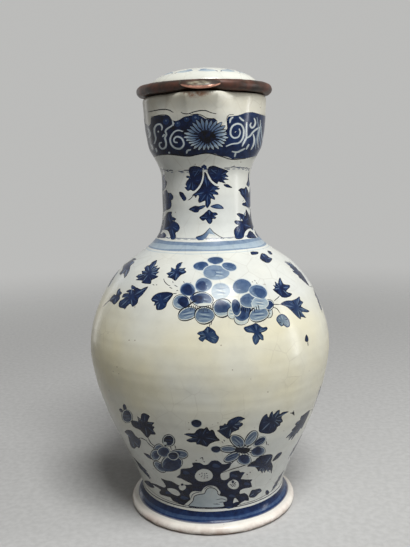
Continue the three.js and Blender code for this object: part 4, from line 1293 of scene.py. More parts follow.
def painted_glaze(name, cream_low, cream_high, cream, with_clay=True):
    """The glaze of one piece, with its cobalt painting and, on the foot, its bare clay, a painted light on
    the foot rim and a painted shade under the ring.
    """
    tree, material = new_material(name)
    drift = {"Cream Low": cream_low, "Cream High": cream_high, "Cream": cream}
    glaze = node(tree, "ShaderNodeGroup", drift, node_tree=tin_glaze).outputs
    ink = node(tree, "ShaderNodeAttribute", attribute_name="ink").outputs["Fac"]
    brushed = {"Ink": ink, "Glaze": glaze["Color"]}
    colour = node(tree, "ShaderNodeGroup", brushed, node_tree=cobalt).outputs["Color"]
    roughness = glaze["Roughness"]
    height = glaze["Height"]
    if with_clay:
        place = node(tree, "ShaderNodeTexCoord").outputs["Object"]
        level = node(tree, "ShaderNodeSeparateXYZ", {"Vector": place}).outputs["Z"]
        rust_noise = noise(tree, 70.0, 4.0, 0.65, place)
        # Mask of the foot rim, up to about 6 mm high, for the painted light on it.
        painted_foot_light = ranged(tree, level, 0.005, 0.0065, 1.0, 0.0)
        grey = node(tree, "ShaderNodeRGBToBW", {"Color": colour}).outputs[0]
        low_belly = ranged(tree, level, 0.07, 0.1, 1.0, 0.0)
        muted = product(tree, low_belly, ranged(tree, level, 0.012, 0.016, 0.0, 0.26))
        dulled = blended(tree, 1.0, grey, (0.99, 1.02, 0.93), "MULTIPLY")
        colour = blended(tree, muted, colour, dulled)
        # The foot rim's glaze is lifted to a warm near-white: painted light, standing in for the front light
        # that falls on the rim.
        colour = blended(tree, product(tree, painted_foot_light, 0.85), colour, (0.97, 0.91, 0.82))
        # A warm, slightly darker tint on the collar just under the ring: partly grime from the copper, partly
        # painted shade and painted warm light bounced off the ring.
        uneven = ranged(tree, rust_noise, 0.3, 0.6, 0.6, 1.0)
        ring_grime_and_shade = product(tree, ranged(tree, level, 0.228, 0.25), uneven)
        colour = blended(tree, ring_grime_and_shade, colour, (1.0, 0.93, 0.80), "MULTIPLY")
        flattening, stain_middle = (1.0, 1.0, 4.0), (-0.003, -0.0425, 1.0052)
        flat = node(tree, "ShaderNodeVectorMath", {0: place, 1: flattening}, operation="MULTIPLY").outputs[0]
        away = node(tree, "ShaderNodeVectorMath", {0: flat, 1: stain_middle}, operation="DISTANCE")
        near_lip = ranged(tree, away.outputs["Value"], 0.004, 0.0105, 1.0, 0.0)
        stain = product(tree, near_lip, ranged(tree, noise(tree, 260.0, 3.0, 0.6, place), 0.4, 0.55))
        colour = blended(tree, product(tree, stain, 0.85), colour, (0.30, 0.11, 0.04))
        near_foot = ranged(tree, level, 0.0, 0.0065, 1.0, 0.0)
        rust = product(tree, near_foot, ranged(tree, rust_noise, 0.44, 0.62), 0.75)
        colour = blended(tree, rust, colour, (0.30, 0.13, 0.07))
        clay = node(tree, "ShaderNodeAttribute", attribute_name="clay").outputs["Fac"]
        grain = noise(tree, 420.0, 4.0, 0.6, place)
        fired = [(0.3, (0.16, 0.085, 0.05)), (0.6, (0.42, 0.27, 0.17)), (0.8, (0.55, 0.42, 0.3))]
        colour = blended(tree, clay, colour, graded(tree, grain, fired))
        roughness = maths(tree, "MAXIMUM", roughness, product(tree, clay, 0.85))
        height = maths(tree, "ADD", height, product(tree, grain, clay, 4.0))
    sockets = {"Base Color": colour, "Roughness": roughness, "IOR": 1.36, "Specular IOR Level": 0.38}
    finish_material(tree, sockets, 0.25, 0.0006, height)
    return material


jug_rows = sheet_rows([
    (0.0, 22.0, 24.0),
    (44.0, 3.6, 6.0),
    (FOOT_EDGE, 0.7, 3.2),
    (FOOT_EDGE + 14, 3.0, 3.2),
    (rim_run - 34, 1.6, 2.6),
    (rim_run - 6, 0.7, 2.6),
    (rim_run + 6, 2.5, 4.0),
    (rim_run + 36, 6.0, 7.0),
    (jug_form.run[-1] - 16, 8.0, 30.0),
    (jug_form.run[-1], 1.0, 60.0),
])
jug = painted_piece("jug", jug_painting, jug_rows, ("ink", "clay"))
jug.data.materials.append(painted_glaze("jug_glaze", 0.055, 0.147, 1.0))
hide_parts("jug_body")
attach(jug, "jug")

# Handle. A strap of the same clay, pulled by hand and luted on at the collar and the shoulder, with
# a shallow groove down its back. It is glazed with the jug and painted with strokes across it.
HANDLE_WIDTH = 19.0
HANDLE_THICKNESS = 7.5
HANDLE_TOP = 243.45
HANDLE_STRETCHES = [
    [(36.1, HANDLE_TOP), (40.0, HANDLE_TOP), (46.0, HANDLE_TOP), (52.0, HANDLE_TOP)],
    [(52.0, HANDLE_TOP), (69.4, HANDLE_TOP), (81.0, 230.9), (81.0, 205.8)],
    [(81.0, 205.8), (81.0, 174.5), (74.0, 151.4), (61.9, 139.9)],
]


class StrapForm:
    """A strap laid out flat: x runs round its section from the middle of its back, y along its length."""

    def __init__(self, path, width, thickness):
        self.path = path
        self.run = np.concatenate([[0], np.cumsum(np.hypot(*np.diff(path, axis=0).T))])
        self.flat_half = (width - thickness) / 2
        self.round = thickness / 2
        self.half_width = 2 * self.flat_half + math.pi * self.round
        way = np.gradient(path, axis=0)
        self.way = way / np.hypot(*way.T)[:, None]

    def stretch(self, y):
        """Millimetres across the strap for each flat one: the same everywhere."""
        return 1.0 + 0.0 * y

    def flat(self, across, along):
        """Flat place of a distance across the strap and one along it."""
        return np.column_stack([across + 0.0 * np.asarray(along), along + 0.0 * np.asarray(across)])

    def place(self, flat):
        """Where points of the flat strap lie, in metres. Its ends close within their last millimetre."""
        side, reach = np.sign(flat[:, 0]), np.abs(flat[:, 0])
        turn = np.clip((reach - self.flat_half) / self.round, 0, math.pi)
        far = reach - self.flat_half - math.pi * self.round
        across = np.where(reach < self.flat_half, reach, self.flat_half + self.round * np.sin(turn))
        across = side * np.where(far > 0, self.flat_half - far, across)
        out = self.round * np.cos(turn)
        length = self.run[-1]
        along = np.clip(flat[:, 1], 0, length)
        starts, ends = np.clip((along - 16) / 20, 0, 1), np.clip((length - 8 - along) / 10, 0, 1)
        groove = 0.55 * np.exp(-((across / 2.4) ** 2)) * starts * ends
        ripple = 0.1 * np.sin(along / 5.3) * np.sin(along / 13 + 1)
        out = out - (groove + 0.15 + ripple) * (out > 0)
        root = 0.02 * np.exp(-((along / 4.4) ** 2)) + 0.02 * np.exp(-(((length - along) / 8) ** 2))
        closing = np.sqrt(np.clip(0.9999 - np.abs(flat[:, 1] - along), 0, 1))
        across = across * (0.985 + root) * closing
        out = out * (0.97 + 0.8 * root) * closing
        y, z = (np.interp(along, self.run, self.path[:, k]) for k in (0, 1))
        ty, tz = (np.interp(along, self.run, self.way[:, k]) for k in (0, 1))
        return MM * np.column_stack([across, y - tz * out, z + ty * out])


handle_path = np.vstack([HANDLE_STRETCHES[0][:1]] + [bezier(stretch, 40) for stretch in HANDLE_STRETCHES])
handle_form = StrapForm(handle_path, HANDLE_WIDTH, HANDLE_THICKNESS)
handle_length = handle_form.run[-1]
handle_painting = Painting(handle_form)
first_pair, pair_gap = 31, 10.5
for k in range(9):
    along = first_pair + pair_gap * k
    for side in (-1, 1):
        handle_painting.leaf((1.2 * side, along), (7.6 * side, along + 4.6), 1.5, 0, ink=0.9)
    handle_painting.fill(handle_painting.lay(oval(1.0, 1.3), (0, along + 5.4)), 0.95)
for side in (-1, 1):
    line = [(8.9 * side, 24 + step) for step in range(0, int(handle_length) - 34, 6)]
    handle_painting.stroke(line, 0.5, 0.9, 0.2)
handle_painting.leaf((0, handle_length - 22), (0, handle_length - 7), 3.6, 3, 0.9)
for along in (24.5, 27.0):
    handle_painting.stroke([(-8, along), (0, along + 0.5), (8, along)], 1.3, 0.75, 0.7)
handle_rows = sheet_rows([
    (-1.0, 0.5, 1.9),
    (0.0, 1.6, 1.9),
    (handle_length, 0.5, 1.9),
    (handle_length + 1.0, 1.0, 1.9),
])
handle = painted_piece("handle_strap", handle_painting, handle_rows, ("ink",))
handle.data.materials.append(painted_glaze("handle_glaze", 0.15, 0.2, 0.5, False))
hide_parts("handle")
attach(handle, "jug")

# Lid. A flattened dome of the same glazed ware, hollow beneath, whose thin edge sits in the copper
# ring. It is painted with a ring of small grey-blue leaves and a rosette on its top.
LID_EDGE_RADIUS = 36.6
LID_DOME_RADIUS = 32.2
LID_BOTTOM = 255.95
LID_EDGE_TOP = 258.15
LID_RISE = 11.2
LID_WALL = 4.4
LID_BULGE = 2 / 2.3


def lid_section():
    """The section of the lid from the middle of its hollow, out round its edge and up to its crown."""
    turn = np.linspace(0, np.pi / 2, 30)
    reach, rise = np.sin(turn) ** LID_BULGE, np.cos(turn)
    crown_lift = 2.3
    hollow_rise = LID_RISE + crown_lift - LID_WALL
    hollow = np.column_stack([(LID_DOME_RADIUS - LID_WALL) * reach, LID_BOTTOM + hollow_rise * rise])
    dome = np.column_stack([LID_DOME_RADIUS * reach, LID_EDGE_TOP + LID_RISE * rise])[::-1]
    edge = [(LID_EDGE_RADIUS, LID_BOTTOM), (LID_EDGE_RADIUS, LID_EDGE_TOP)]
    return np.vstack([hollow, edge, dome])


def lid_shape(angle, radius, height, run):
    """A little of the unevenness of a dome thrown by hand."""
    outer = np.clip((run - lid_edge_run) / 8, 0, 1)
    sway, rings = 0.07 * np.cos(2 * angle + 0.6) * radius / 30, 0.03 * np.sin(radius / 1.3)
    return radius, height - outer * (0.1 + sway + rings)


lid_form = TurnedForm(lid_section(), 30.0, 0.35, lid_shape)
lid_edge_run = lid_form.run[np.argmax(lid_form.radius)] + 2.2
lid_form.outside = slice(int(np.searchsorted(lid_form.run, lid_edge_run)), len(lid_form.run))
lid_form.measure = -lid_form.radius
lid_painting = Painting(lid_form)
for k in range(6):
    middle = 60 * k - 8
    for side in (-1, 1):
        lid_painting.leaf((middle + 3 * side, -24.4), (middle + 27 * side, -25.4), 1.9, 0, ink=0.18)
        lid_painting.leaf((middle + 6 * side, -23.6), (middle + 16 * side, -21.2), 1.5, 0, ink=0.28)
        rib = [(middle + 4 * side, -24.2), (middle + 14 * side, -23.4), (middle + 26 * side, -25.2)]
        lid_painting.stroke(rib, 0.5, 0.42)
        lid_painting.stroke([(middle + 26 * side, -25.2), (middle + 28 * side, -26.6)], 0.8, 0.85)
tick_places = ((-60, 28.0), (-56, 27.2), (-52, 26.2), (54, 27.0), (113, 27.4), (173, 26.8), (-127, 27.6))
for angle, radius in tick_places:
    lid_painting.stroke([(angle - 2, -radius), (angle, 0.3 - radius), (angle + 1.5, 1.2 - radius)], 0.6, 0.95)
for k in range(6):
    way = 60 * k + 20
    lid_painting.leaf((way, -3.4), (way, -12.0), 2.2, 0, ink=0.5)
lid_painting.fill(lid_painting.form.flat(np.linspace(0, 342, 20), np.full(20, -3.0)), 0.8)
lid_rows = sheet_rows([
    (0.0, 4.0, 12.0),
    (12.0, 3.0, 6.0),
    (lid_edge_run - 12, 0.6, 3.6),
    (lid_edge_run + 3, 1.6, 3.2),
    (lid_form.run[-1] - 6, 2.0, 8.0),
    (lid_form.run[-1], 1.0, 12.0),
])
lid = painted_piece("lid", lid_painting, lid_rows, ("ink",))
lid.data.materials.append(painted_glaze("lid_glaze", 0.2, 0.3, 0.25, False))
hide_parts("lid_dome")
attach(lid, "lid")


# Copper mounts. Sheet copper gone brown, nearly black in the hollows and rubbed pink on the edges.
# Each mount is cut from sheet or drawn out as a strip, bent round its place and dressed by hammer.
def worn_copper_group():
    """Brown patina with ruddy and greenish spots, bright copper where it is worn, and old solder."""
    inputs = [("Wear", "NodeSocketFloat", 0.0), ("Solder", "NodeSocketFloat", 0.0)]
    outputs = [("Color", "NodeSocketColor")]
    outputs += [(label, "NodeSocketFloat") for label in ("Metallic", "Roughness", "Height")]
    tree, given, out = effect_group("worn_copper", inputs, outputs)
    place = node(tree, "ShaderNodeTexCoord").outputs["Object"]
    coarse = noise(tree, 90.0, 4.0, 0.6, place)
    fine = noise(tree, 620.0, 4.0, 0.65, place)
    browns = [
        (0.32, (0.010, 0.006, 0.004)),
        (0.48, (0.034, 0.015, 0.008)),
        (0.6, (0.085, 0.026, 0.013)),
        (0.74, (0.13, 0.052, 0.028)),
    ]
    patina = graded(tree, coarse, browns)
    green = ranged(tree, noise(tree, 210.0, 3.0, 0.6, place), 0.63, 0.72)
    colour = blended(tree, product(tree, green, 0.35), patina, (0.10, 0.13, 0.085))
    rubbed = maths(tree, "ADD", given["Wear"], maths(tree, "MULTIPLY_ADD", fine, 0.9, -0.55))
    rubbed = product(tree, ranged(tree, rubbed, 0.25, 0.75), ranged(tree, given["Wear"], 0.0, 0.15))
    colour = blended(tree, rubbed, colour, (0.56, 0.29, 0.21))
    solder = product(tree, given["Solder"], ranged(tree, fine, 0.3, 0.5, 0.5, 1.0))
    colour = blended(tree, solder, colour, (0.29, 0.26, 0.18))
    tree.links.new(colour, out["Color"])
    metal = maths(tree, "MULTIPLY_ADD", rubbed, 0.7, 0.15)
    tree.links.new(maths(tree, "SUBTRACT", metal, product(tree, solder, 0.25)), out["Metallic"])
    tree.links.new(ranged(tree, coarse, 0.3, 0.7, 0.34, 0.52), out["Roughness"])
    relief = maths(tree, "ADD", product(tree, coarse, 0.8), product(tree, fine, 0.25))
    tree.links.new(relief, out["Height"])
    return tree


tree, aged_copper = new_material("aged_copper")
wear = node(tree, "ShaderNodeAttribute", attribute_name="wear").outputs["Fac"]
solder = node(tree, "ShaderNodeAttribute", attribute_name="solder").outputs["Fac"]
given = {"Wear": wear, "Solder": solder}
copper = node(tree, "ShaderNodeGroup", given, node_tree=worn_copper_group()).outputs
sockets = {"Base Color": copper["Color"], "Metallic": copper["Metallic"], "Roughness": copper["Roughness"]}
finish_material(tree, sockets, 0.4, 0.0008, copper["Height"])


def facing_out(mesh):
    """Turns a closed mesh's faces outward."""
    shape = bmesh.new()
    shape.from_mesh(mesh)
    bmesh.ops.recalc_face_normals(shape, faces=shape.faces)
    if shape.calc_volume(signed=True) < 0:
        bmesh.ops.reverse_faces(shape, faces=shape.faces)
    shape.to_mesh(mesh)
    shape.free()


def piece_of(name, mesh, body, *nodes, slot="copper"):
    """A finished piece that rides on a body in place of CAD nodes."""
    piece = new_object(name, mesh)
    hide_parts(*nodes)
    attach(piece, body)
    return piece


def geometry_tree(name, inputs):
    """An empty geometry node tree that takes a geometry, named inputs and a material."""
    tree = bpy.data.node_groups.new(name, "GeometryNodeTree")
    tree.is_modifier = True
    tree.interface.new_socket("Geometry", in_out="INPUT", socket_type="NodeSocketGeometry")
    tree.interface.new_socket("Geometry", in_out="OUTPUT", socket_type="NodeSocketGeometry")
    for label, kind in inputs + [("Material", "NodeSocketMaterial")]:
        tree.interface.new_socket(label, in_out="INPUT", socket_type=kind)
    return tree, tree.nodes.new("NodeGroupInput").outputs, tree.nodes.new("NodeGroupOutput").inputs[0]


def made_by(tree, kind, sockets=None, **settings):
    """The first output of a new node."""
    return node(tree, kind, sockets, **settings).outputs[0]


def finish_geometry(tree, given, geometry, out):
    """Makes a geometry whole and smooth, gives it the material and hands it out."""
    whole = made_by(tree, "GeometryNodeRealizeInstances", {"Geometry": geometry})
    smooth = made_by(tree, "GeometryNodeSetShadeSmooth", {"Geometry": whole})
    dressed = {"Geometry": smooth, "Material": given["Material"]}
    tree.links.new(made_by(tree, "GeometryNodeSetMaterial", dressed), out)


def grown_mesh(base, tree, values):
    """The mesh that a geometry node tree makes of a base mesh with its inputs set to values."""
    holder = new_object("holder", base)
    modifier = holder.modifiers.new("shape", "NODES")
    modifier.node_group = tree
    for item in tree.interface.items_tree:
        if item.in_out == "INPUT" and item.name in values:
            modifier[item.identifier] = values[item.name]
    bpy.context.view_layer.update()
    grown = bpy.data.meshes.new_from_object(holder.evaluated_get(bpy.context.evaluated_depsgraph_get()))
    bpy.data.objects.remove(holder)
    facing_out(grown)
    return grown


def hand_sweep_tree():
    """Draws a section along a path, both in the base mesh, and leaves shallow hammer dents."""
    inputs = [("Dent", "NodeSocketFloat"), ("Dents per Metre", "NodeSocketFloat")]
    tree, given, out = geometry_tree("hand_worked_sweep", inputs)
    flag = made_by(tree, "GeometryNodeInputNamedAttribute", {"Name": "path"}, data_type="FLOAT")
    compared = {"A": flag, "B": 0.5}
    picked = made_by(tree, "FunctionNodeCompare", compared, data_type="FLOAT", operation="GREATER_THAN")
    both = {"Geometry": given["Geometry"], "Selection": picked}
    parts = node(tree, "GeometryNodeSeparateGeometry", both, domain="POINT").outputs
    path = made_by(tree, "GeometryNodeMeshToCurve", {"Mesh": parts["Selection"]})
    section = made_by(tree, "GeometryNodeMeshToCurve", {"Mesh": parts["Inverted"]})
    sweep = {"Curve": path, "Profile Curve": section, "Fill Caps": True}
    swept = made_by(tree, "GeometryNodeCurveToMesh", sweep)
    dents = noise(tree, given["Dents per Metre"], 1.0, 0.5)
    depth = product(tree, dents, given["Dent"])
    normal = made_by(tree, "GeometryNodeInputNormal")
    offset = made_by(tree, "ShaderNodeVectorMath", {"Vector": normal, "Scale": depth}, operation="SCALE")
    dented = made_by(tree, "GeometryNodeSetPosition", {"Geometry": swept, "Offset": offset})
    finish_geometry(tree, given, dented, out)
    return tree


hand_sweep = hand_sweep_tree()


def mark(mesh, name, values):
    """Sets a named value at each point of a mesh."""
    mesh.attributes.new(name, "FLOAT", "POINT").data.foreach_set("value", values)


def swept_mesh(path, closed, section, wear, dent, dents, material):
    """A strip or bead: a section in millimetres drawn along a path, with wear given round the section."""
    n, m = len(path), len(section)
    points = MM * np.vstack([path, np.column_stack([section, np.zeros(m)])])
    edges = [(i, i + 1) for i in range(n - 1)] + ([(n - 1, 0)] if closed else [])
    edges += [(n + i, n + (i + 1) % m) for i in range(m)]
    base = bpy.data.meshes.new("section_and_path")
    base.from_pydata(points.tolist(), edges, [])
    mark(base, "path", [1.0] * n + [0.0] * m)
    mark(base, "wear", [0.0] * n + list(wear))
    return grown_mesh(base, hand_sweep, {"Dent": dent * MM, "Dents per Metre": dents, "Material": material})


def rounded_box(across, up, corner):
    """The outline of a rectangle round the origin with rounded corners."""
    outline = []
    quarter_turn = np.linspace(0, np.pi / 2, 4)
    for k, (x, y) in enumerate(((1, -1), (1, 1), (-1, 1), (-1, -1))):
        turn = quarter_turn + (k - 1) * np.pi / 2
        arc = corner * np.column_stack([np.cos(turn), np.sin(turn)])
        outline.append(arc + [x * (across / 2 - corner), y * (up / 2 - corner)])
    return np.vstack(outline)


def copper_mesh(name, points, faces, sharp, **marks):
    """A closed copper mesh of points in millimetres, with edges sharp above an angle in degrees."""
    mesh = bpy.data.meshes.new(name)
    mesh.from_pydata((MM * points).tolist(), [], faces)
    for label, values in marks.items():
        mark(mesh, label, values.tolist())
    mesh.materials.append(aged_copper)
    mesh.polygons.foreach_set("use_smooth", [True] * len(mesh.polygons))
    facing_out(mesh)
    mesh.set_sharp_from_angle(angle=math.radians(sharp))
    return mesh


def plate_mesh(outline, depth, edge, place):
    """A plate cut to an outline with its edges rounded over. place() puts (x, y, through) in the part."""
    outline = np.asarray(outline, float)
    if signed_area(outline) < 0:
        outline = outline[::-1]
    outward = outward_normals(outline)
    turn = np.linspace(0, np.pi / 2, 4)
    levels = [(edge * (1 - math.sin(t)), edge * (1 - math.cos(t))) for t in turn]
    levels += [(inset, depth - low) for inset, low in levels[::-1]]
    count = len(outline)
    rings = [np.column_stack([outline - outward * inset, np.full(count, low)]) for inset, low in levels]
    faces = []
    for k in range(len(rings) - 1):
        for i in range(count):
            j = (i + 1) % count
            faces.append((k * count + i, k * count + j, (k + 1) * count + j, (k + 1) * count + i))
    cap = tessellate_polygon([[Vector((x, y, 0)) for x, y, _ in rings[0]]])
    last = (len(rings) - 1) * count
    faces += [tuple(reversed(face)) for face in cap] + [tuple(last + i for i in face) for face in cap]
    points = np.vstack(rings)
    wear = np.repeat([0.12 + 0.5 * math.sin(2 * t) for t in np.concatenate([turn, turn[::-1]])], count)
    return copper_mesh("plate", place(points), faces, 50, wear=wear)


def joined_mesh(name, meshes):
    """Several closed meshes as one, with their attributes and material kept."""
    whole = bmesh.new()
    for mesh in meshes:
        whole.from_mesh(mesh)
    made = bpy.data.meshes.new(name)
    whole.to_mesh(made)
    whole.free()
    made.materials.append(meshes[0].materials[0])
    return made


# Lid ring. A bead of sheet copper rolled round the edge of the lid, open to the inside, where the
# lid is bedded in it. Hammered, dark beneath and rubbed along its upper edge.
RING_RADIUS = 40.6
RING_BEAD = 3.2
RING_MIDDLE = 256.4
RING_PATH = 37.4
bead_turn = np.linspace(-np.pi / 2, np.pi / 2, 15)
bead_out = RING_RADIUS - RING_BEAD + RING_BEAD * np.cos(bead_turn)
bead = np.column_stack([bead_out, RING_MIDDLE + RING_BEAD * np.sin(bead_turn)])
inside = [
    (34.2, 259.55), (33.1, 259.35), (32.8, 258.9), (33.2, 258.55), (36.6, 258.5), (38.0, 258.3),
    (38.35, 257.2), (38.35, 255.4), (37.9, 254.5), (34.0, 254.3), (31.5, 254.25), (31.25, 253.8),
    (31.6, 253.3), (34.6, 253.2),
]
ring_section = np.vstack([bead, inside])
bead_wear = [0.0] * 8 + [0.05, 0.1, 0.16, 0.22, 0.3, 0.38, 0.46]
inside_wear = [0.65, 0.8, 0.6] + [0.05] * 8 + [0.3, 0.5, 0.3]


def level_circle(radius, height, count):
    """Points of a level circle round the jug's axis, in millimetres."""
    turn = np.linspace(0, 2 * math.pi, count, endpoint=False)
    return np.column_stack([radius * np.cos(turn), radius * np.sin(turn), np.full(count, height)])


section = np.column_stack([ring_section[:, 0] - RING_PATH, RING_MIDDLE - ring_section[:, 1]])
ring_path = level_circle(RING_PATH, RING_MIDDLE, 160)
ring = swept_mesh(ring_path, True, section, bead_wear + inside_wear, 0.42, 150.0, aged_copper)
piece_of("lid_rim_ring", ring, "lid", "lid_ring")

# Lip hood. A small leaf of copper on the ring's front that covers the pouring lip, soldered on and
# patched since with grey solder, its lower edge rubbed bright.
HOOD_HALF = 10.9
HOOD_TOP = 259.0
HOOD_LOW = 253.75


def hood_place(flat):
    """Points of the hood: across it, down its front, and through its thickness, in millimetres."""
    u, v, w = flat.T
    swell = np.sqrt(np.clip(1 - u**2, 0, 1))
    x = (HOOD_HALF - 0.4 * w) * u
    top = HOOD_TOP - 0.9 * (1 - swell)
    low = HOOD_LOW + 2.6 * (1 - swell**1.4)
    z = top + (low - top) * v
    over_bead = np.maximum((RING_BEAD + 0.25) ** 2 - (z - RING_MIDDLE) ** 2, 0.3)
    bead_out = RING_RADIUS - RING_BEAD + np.sqrt(over_bead)
    along = np.sqrt(np.maximum(bead_out**2 - x**2, 1))
    stand = swell * (0.5 + 4.6 * v**1.3 - 0.9 * v**4) + 0.12 * np.sin(5 * x / HOOD_HALF) * swell
    lumps = 0.18 * np.sin(9 * u + 3 * v) * np.sin(7 * v + 4 * u) * swell
    return np.column_stack([x, -(along + np.maximum(stand + lumps - w, 0.1 - 0.05 * w)), z - 0.25 * w * v])


across, down = 44, 16
front = [(u, v, 0.0) for v in np.linspace(0, 1, down + 1) for u in np.linspace(-0.995, 0.995, across + 1)]
back = [(u, v, 0.95) for u, v, _ in front]
count = len(front)
faces = []
for j in range(down):
    for i in range(across):
        a = j * (across + 1) + i
        b = a + across + 1
        faces += [(a, a + 1, b + 1, b), (count + a, count + b, count + b + 1, count + a + 1)]
row = across + 1
rim = list(range(across)) + [j * row + across for j in range(down)]
rim += [down * row + i for i in range(across, 0, -1)] + [j * row for j in range(down, 0, -1)]
faces += [(a, count + a, count + b, b) for a, b in zip(rim, rim[1:] + rim[:1])]
hood_flat = np.array(front + back)
u, v, w = hood_flat.T
edge_wear = 0.9 * np.clip((v - 0.62) / 0.25, 0, 1) + 0.3 * np.clip((0.12 - v) / 0.12, 0, 1) + 0.1
patch_across = np.clip((0.66 - np.abs(u + 0.08)) / 0.3, 0, 1)
patch = patch_across * np.clip((v - 0.16) / 0.14, 0, 1) * np.clip((0.74 - v) / 0.2, 0, 1)
solder = patch * np.clip(0.62 + 0.5 * np.sin(11 * u + 2 * v) * np.sin(13 * v - 4 * u), 0, 1)
outer = w < 0.5
hood_points = hood_place(hood_flat)
hood = copper_mesh("spout_hood", hood_points, faces, 60, wear=edge_wear * outer, solder=solder * outer)
piece_of("lip_hood", hood, "lid", "spout_hood")

# Lid bedding. A thin bed of pale lime putty, pressed in round the lid's edge inside the ring and
# gone hard and grey. It fills the gap between the earthenware and the copper.
BED_RADIUS = 34.9
BED_HEIGHT = 255.1
tree, old_putty = new_material("old_putty")
place = node(tree, "ShaderNodeTexCoord").outputs["Object"]
grit = noise(tree, 900.0, 4.0, 0.6, place)
tone = graded(tree, grit, [(0.3, (0.30, 0.26, 0.19)), (0.55, (0.46, 0.41, 0.31)), (0.8, (0.56, 0.52, 0.42))])
finish_material(tree, {"Base Color": tone, "Roughness": 0.92}, 0.6, 0.0004, grit)
bed_path = level_circle(BED_RADIUS, BED_HEIGHT, 120)
bed_section = rounded_box(across=6.2, up=0.9, corner=0.4)
bedding = swept_mesh(bed_path, True, bed_section, [0.0] * len(bed_section), 0.05, 400.0, old_putty)
piece_of("edge_putty", bedding, "lid", "lid_bedding", slot="putty")

# Lid hinge. A strip soldered over the ring and rolled round the pin as the middle knuckle, between
# two knuckles rolled up from the strips of the plate that stands on the handle's band.
HINGE_Y = 45.0
KNUCKLE = 3.2
PIN_RADIUS = 1.2
KNUCKLE_LENGTH = 6.6
SEAT = 249.0
PLATE_TOP = 250.4
EDGE_ROUNDING = 0.3


def rolled_strip(lead, start_turn, end_turn, sheet):
    """The outline of a strip that runs along its lead and rolls round the hinge pin."""
    turn = np.radians(np.linspace(start_turn, end_turn, 26))
    mean = KNUCKLE - sheet / 2 - 0.05
    roll = np.column_stack([HINGE_Y + mean * np.cos(turn), RING_MIDDLE + mean * np.sin(turn)])
    return ribbon(np.vstack([lead, roll]), sheet)


def across_hinge(x0):
    """Puts a hinge outline, drawn seen from the side, at a place along the pin."""
    def place(points):
        return np.column_stack([x0 + points[:, 2], points[:, 0], points[:, 1]])
    return place


def lying_at(x, y, z):
    """Puts an outline drawn seen from above at a place in the part."""
    def place(points):
        return points + [x, y, z]
    return place


lid_strip = rolled_strip([(33.3, 260.72), (36.0, 260.72), (39.0, 260.7), (42.0, 260.4)], 118, -196, 1.6)
strip_width = KNUCKLE_LENGTH - 0.1
lid_leaf = plate_mesh(lid_strip, strip_width, EDGE_ROUNDING, across_hinge(-KNUCKLE_LENGTH / 2 + 0.05))
piece_of("lid_knuckle_strip", lid_leaf, "lid", "lid_hinge_leaf")

foot = rounded_box(across=20.3, up=9.9, corner=1.6)
brace = rounded_box(across=5.6, up=2.2, corner=0.7)
STRIP_Y = 47.25
BRACE_Y = 44.6
plates = [plate_mesh(foot, 1.6, EDGE_ROUNDING, lying_at(0, HINGE_Y, SEAT))]
for x0 in (-KNUCKLE_LENGTH * 1.5 - 0.25, KNUCKLE_LENGTH / 2 + 0.35):
    strip = rolled_strip([(STRIP_Y, PLATE_TOP), (STRIP_Y, 252.0), (STRIP_Y, 254.0)], -8, 286, 1.8)
    plates.append(plate_mesh(strip, strip_width, EDGE_ROUNDING, across_hinge(x0)))
    on_plate = lying_at(x0 + KNUCKLE_LENGTH / 2, BRACE_Y, PLATE_TOP)
    plates.append(plate_mesh(brace, 2.0, EDGE_ROUNDING, on_plate))
piece_of("handle_knuckle_plate", joined_mesh("handle_knuckle_plate", plates), "jug", "handle_hinge_leaf")


def headed_pin_tree():
    """A pin along X with a hammered head at each end."""
    sizes = ("Radius", "Length", "Head Radius", "Head Height")
    inputs = [(label, "NodeSocketFloat") for label in sizes] + [("Middle", "NodeSocketVector")]
    tree, given, out = geometry_tree("headed_pin", inputs)
    drawn = {"Vertices": 24, "Radius": given["Radius"], "Depth": given["Length"]}
    shank = made_by(tree, "GeometryNodeMeshCylinder", drawn)
    low = made_by(tree, "ShaderNodeCombineXYZ", {"Z": product(tree, given["Length"], -0.5)})
    step = made_by(tree, "ShaderNodeCombineXYZ", {"Z": given["Length"]})
    ends = made_by(tree, "GeometryNodeMeshLine", {"Count": 2, "Start Location": low, "Offset": step})
    ball = made_by(tree, "GeometryNodeMeshUVSphere", {"Segments": 28, "Rings": 14, "Radius": 1.0})
    head = {"X": given["Head Radius"], "Y": given["Head Radius"], "Z": given["Head Height"]}
    size = made_by(tree, "ShaderNodeCombineXYZ", head)
    hammered = {"Points": ends, "Instance": ball, "Scale": size}
    heads = made_by(tree, "GeometryNodeInstanceOnPoints", hammered)
    both = node(tree, "GeometryNodeJoinGeometry")
    tree.links.new(shank, both.inputs[0])
    tree.links.new(heads, both.inputs[0])
    along_x = (0, math.pi / 2, 0)
    turned_pin = {"Geometry": both.outputs[0], "Rotation": along_x, "Translation": given["Middle"]}
    finish_geometry(tree, given, made_by(tree, "GeometryNodeTransform", turned_pin), out)
    return tree


headed_pin = headed_pin_tree()


def pin_mesh(radius, length, head_radius, head_height, height):
    """A headed pin or rivet across the hinge line at a height."""
    values = {
        "Radius": radius * MM,
        "Length": length * MM,
        "Head Radius": head_radius * MM,
        "Head Height": head_height * MM,
        "Middle": (0.0, HINGE_Y * MM, height * MM),
        "Material": aged_copper,
    }
    return grown_mesh(bpy.data.meshes.new("empty"), headed_pin, values)


pin = pin_mesh(PIN_RADIUS, length=21.0, head_radius=1.85, head_height=0.75, height=RING_MIDDLE)
piece_of("knuckle_pin", pin, "jug", "hinge_pin")

# Thumbpiece. A lobed leaf of thick sheet that stands on the lid's strip and leans back over the
# hinge, rubbed bright on its upper edge where the thumb presses.
THUMB_FOOT = (42.9, 262.0)
THUMB_LEAN = math.radians(12)


def thumb_place(points):
    """The plate bent slightly hollow to the front and leaned back."""
    x, up, through = points.T
    back = through - 1.0 + 0.012 * x**2
    c, s = math.cos(THUMB_LEAN), math.sin(THUMB_LEAN)
    return np.column_stack([x, THUMB_FOOT[0] + up * s + back * c, THUMB_FOOT[1] + up * c - back * s])


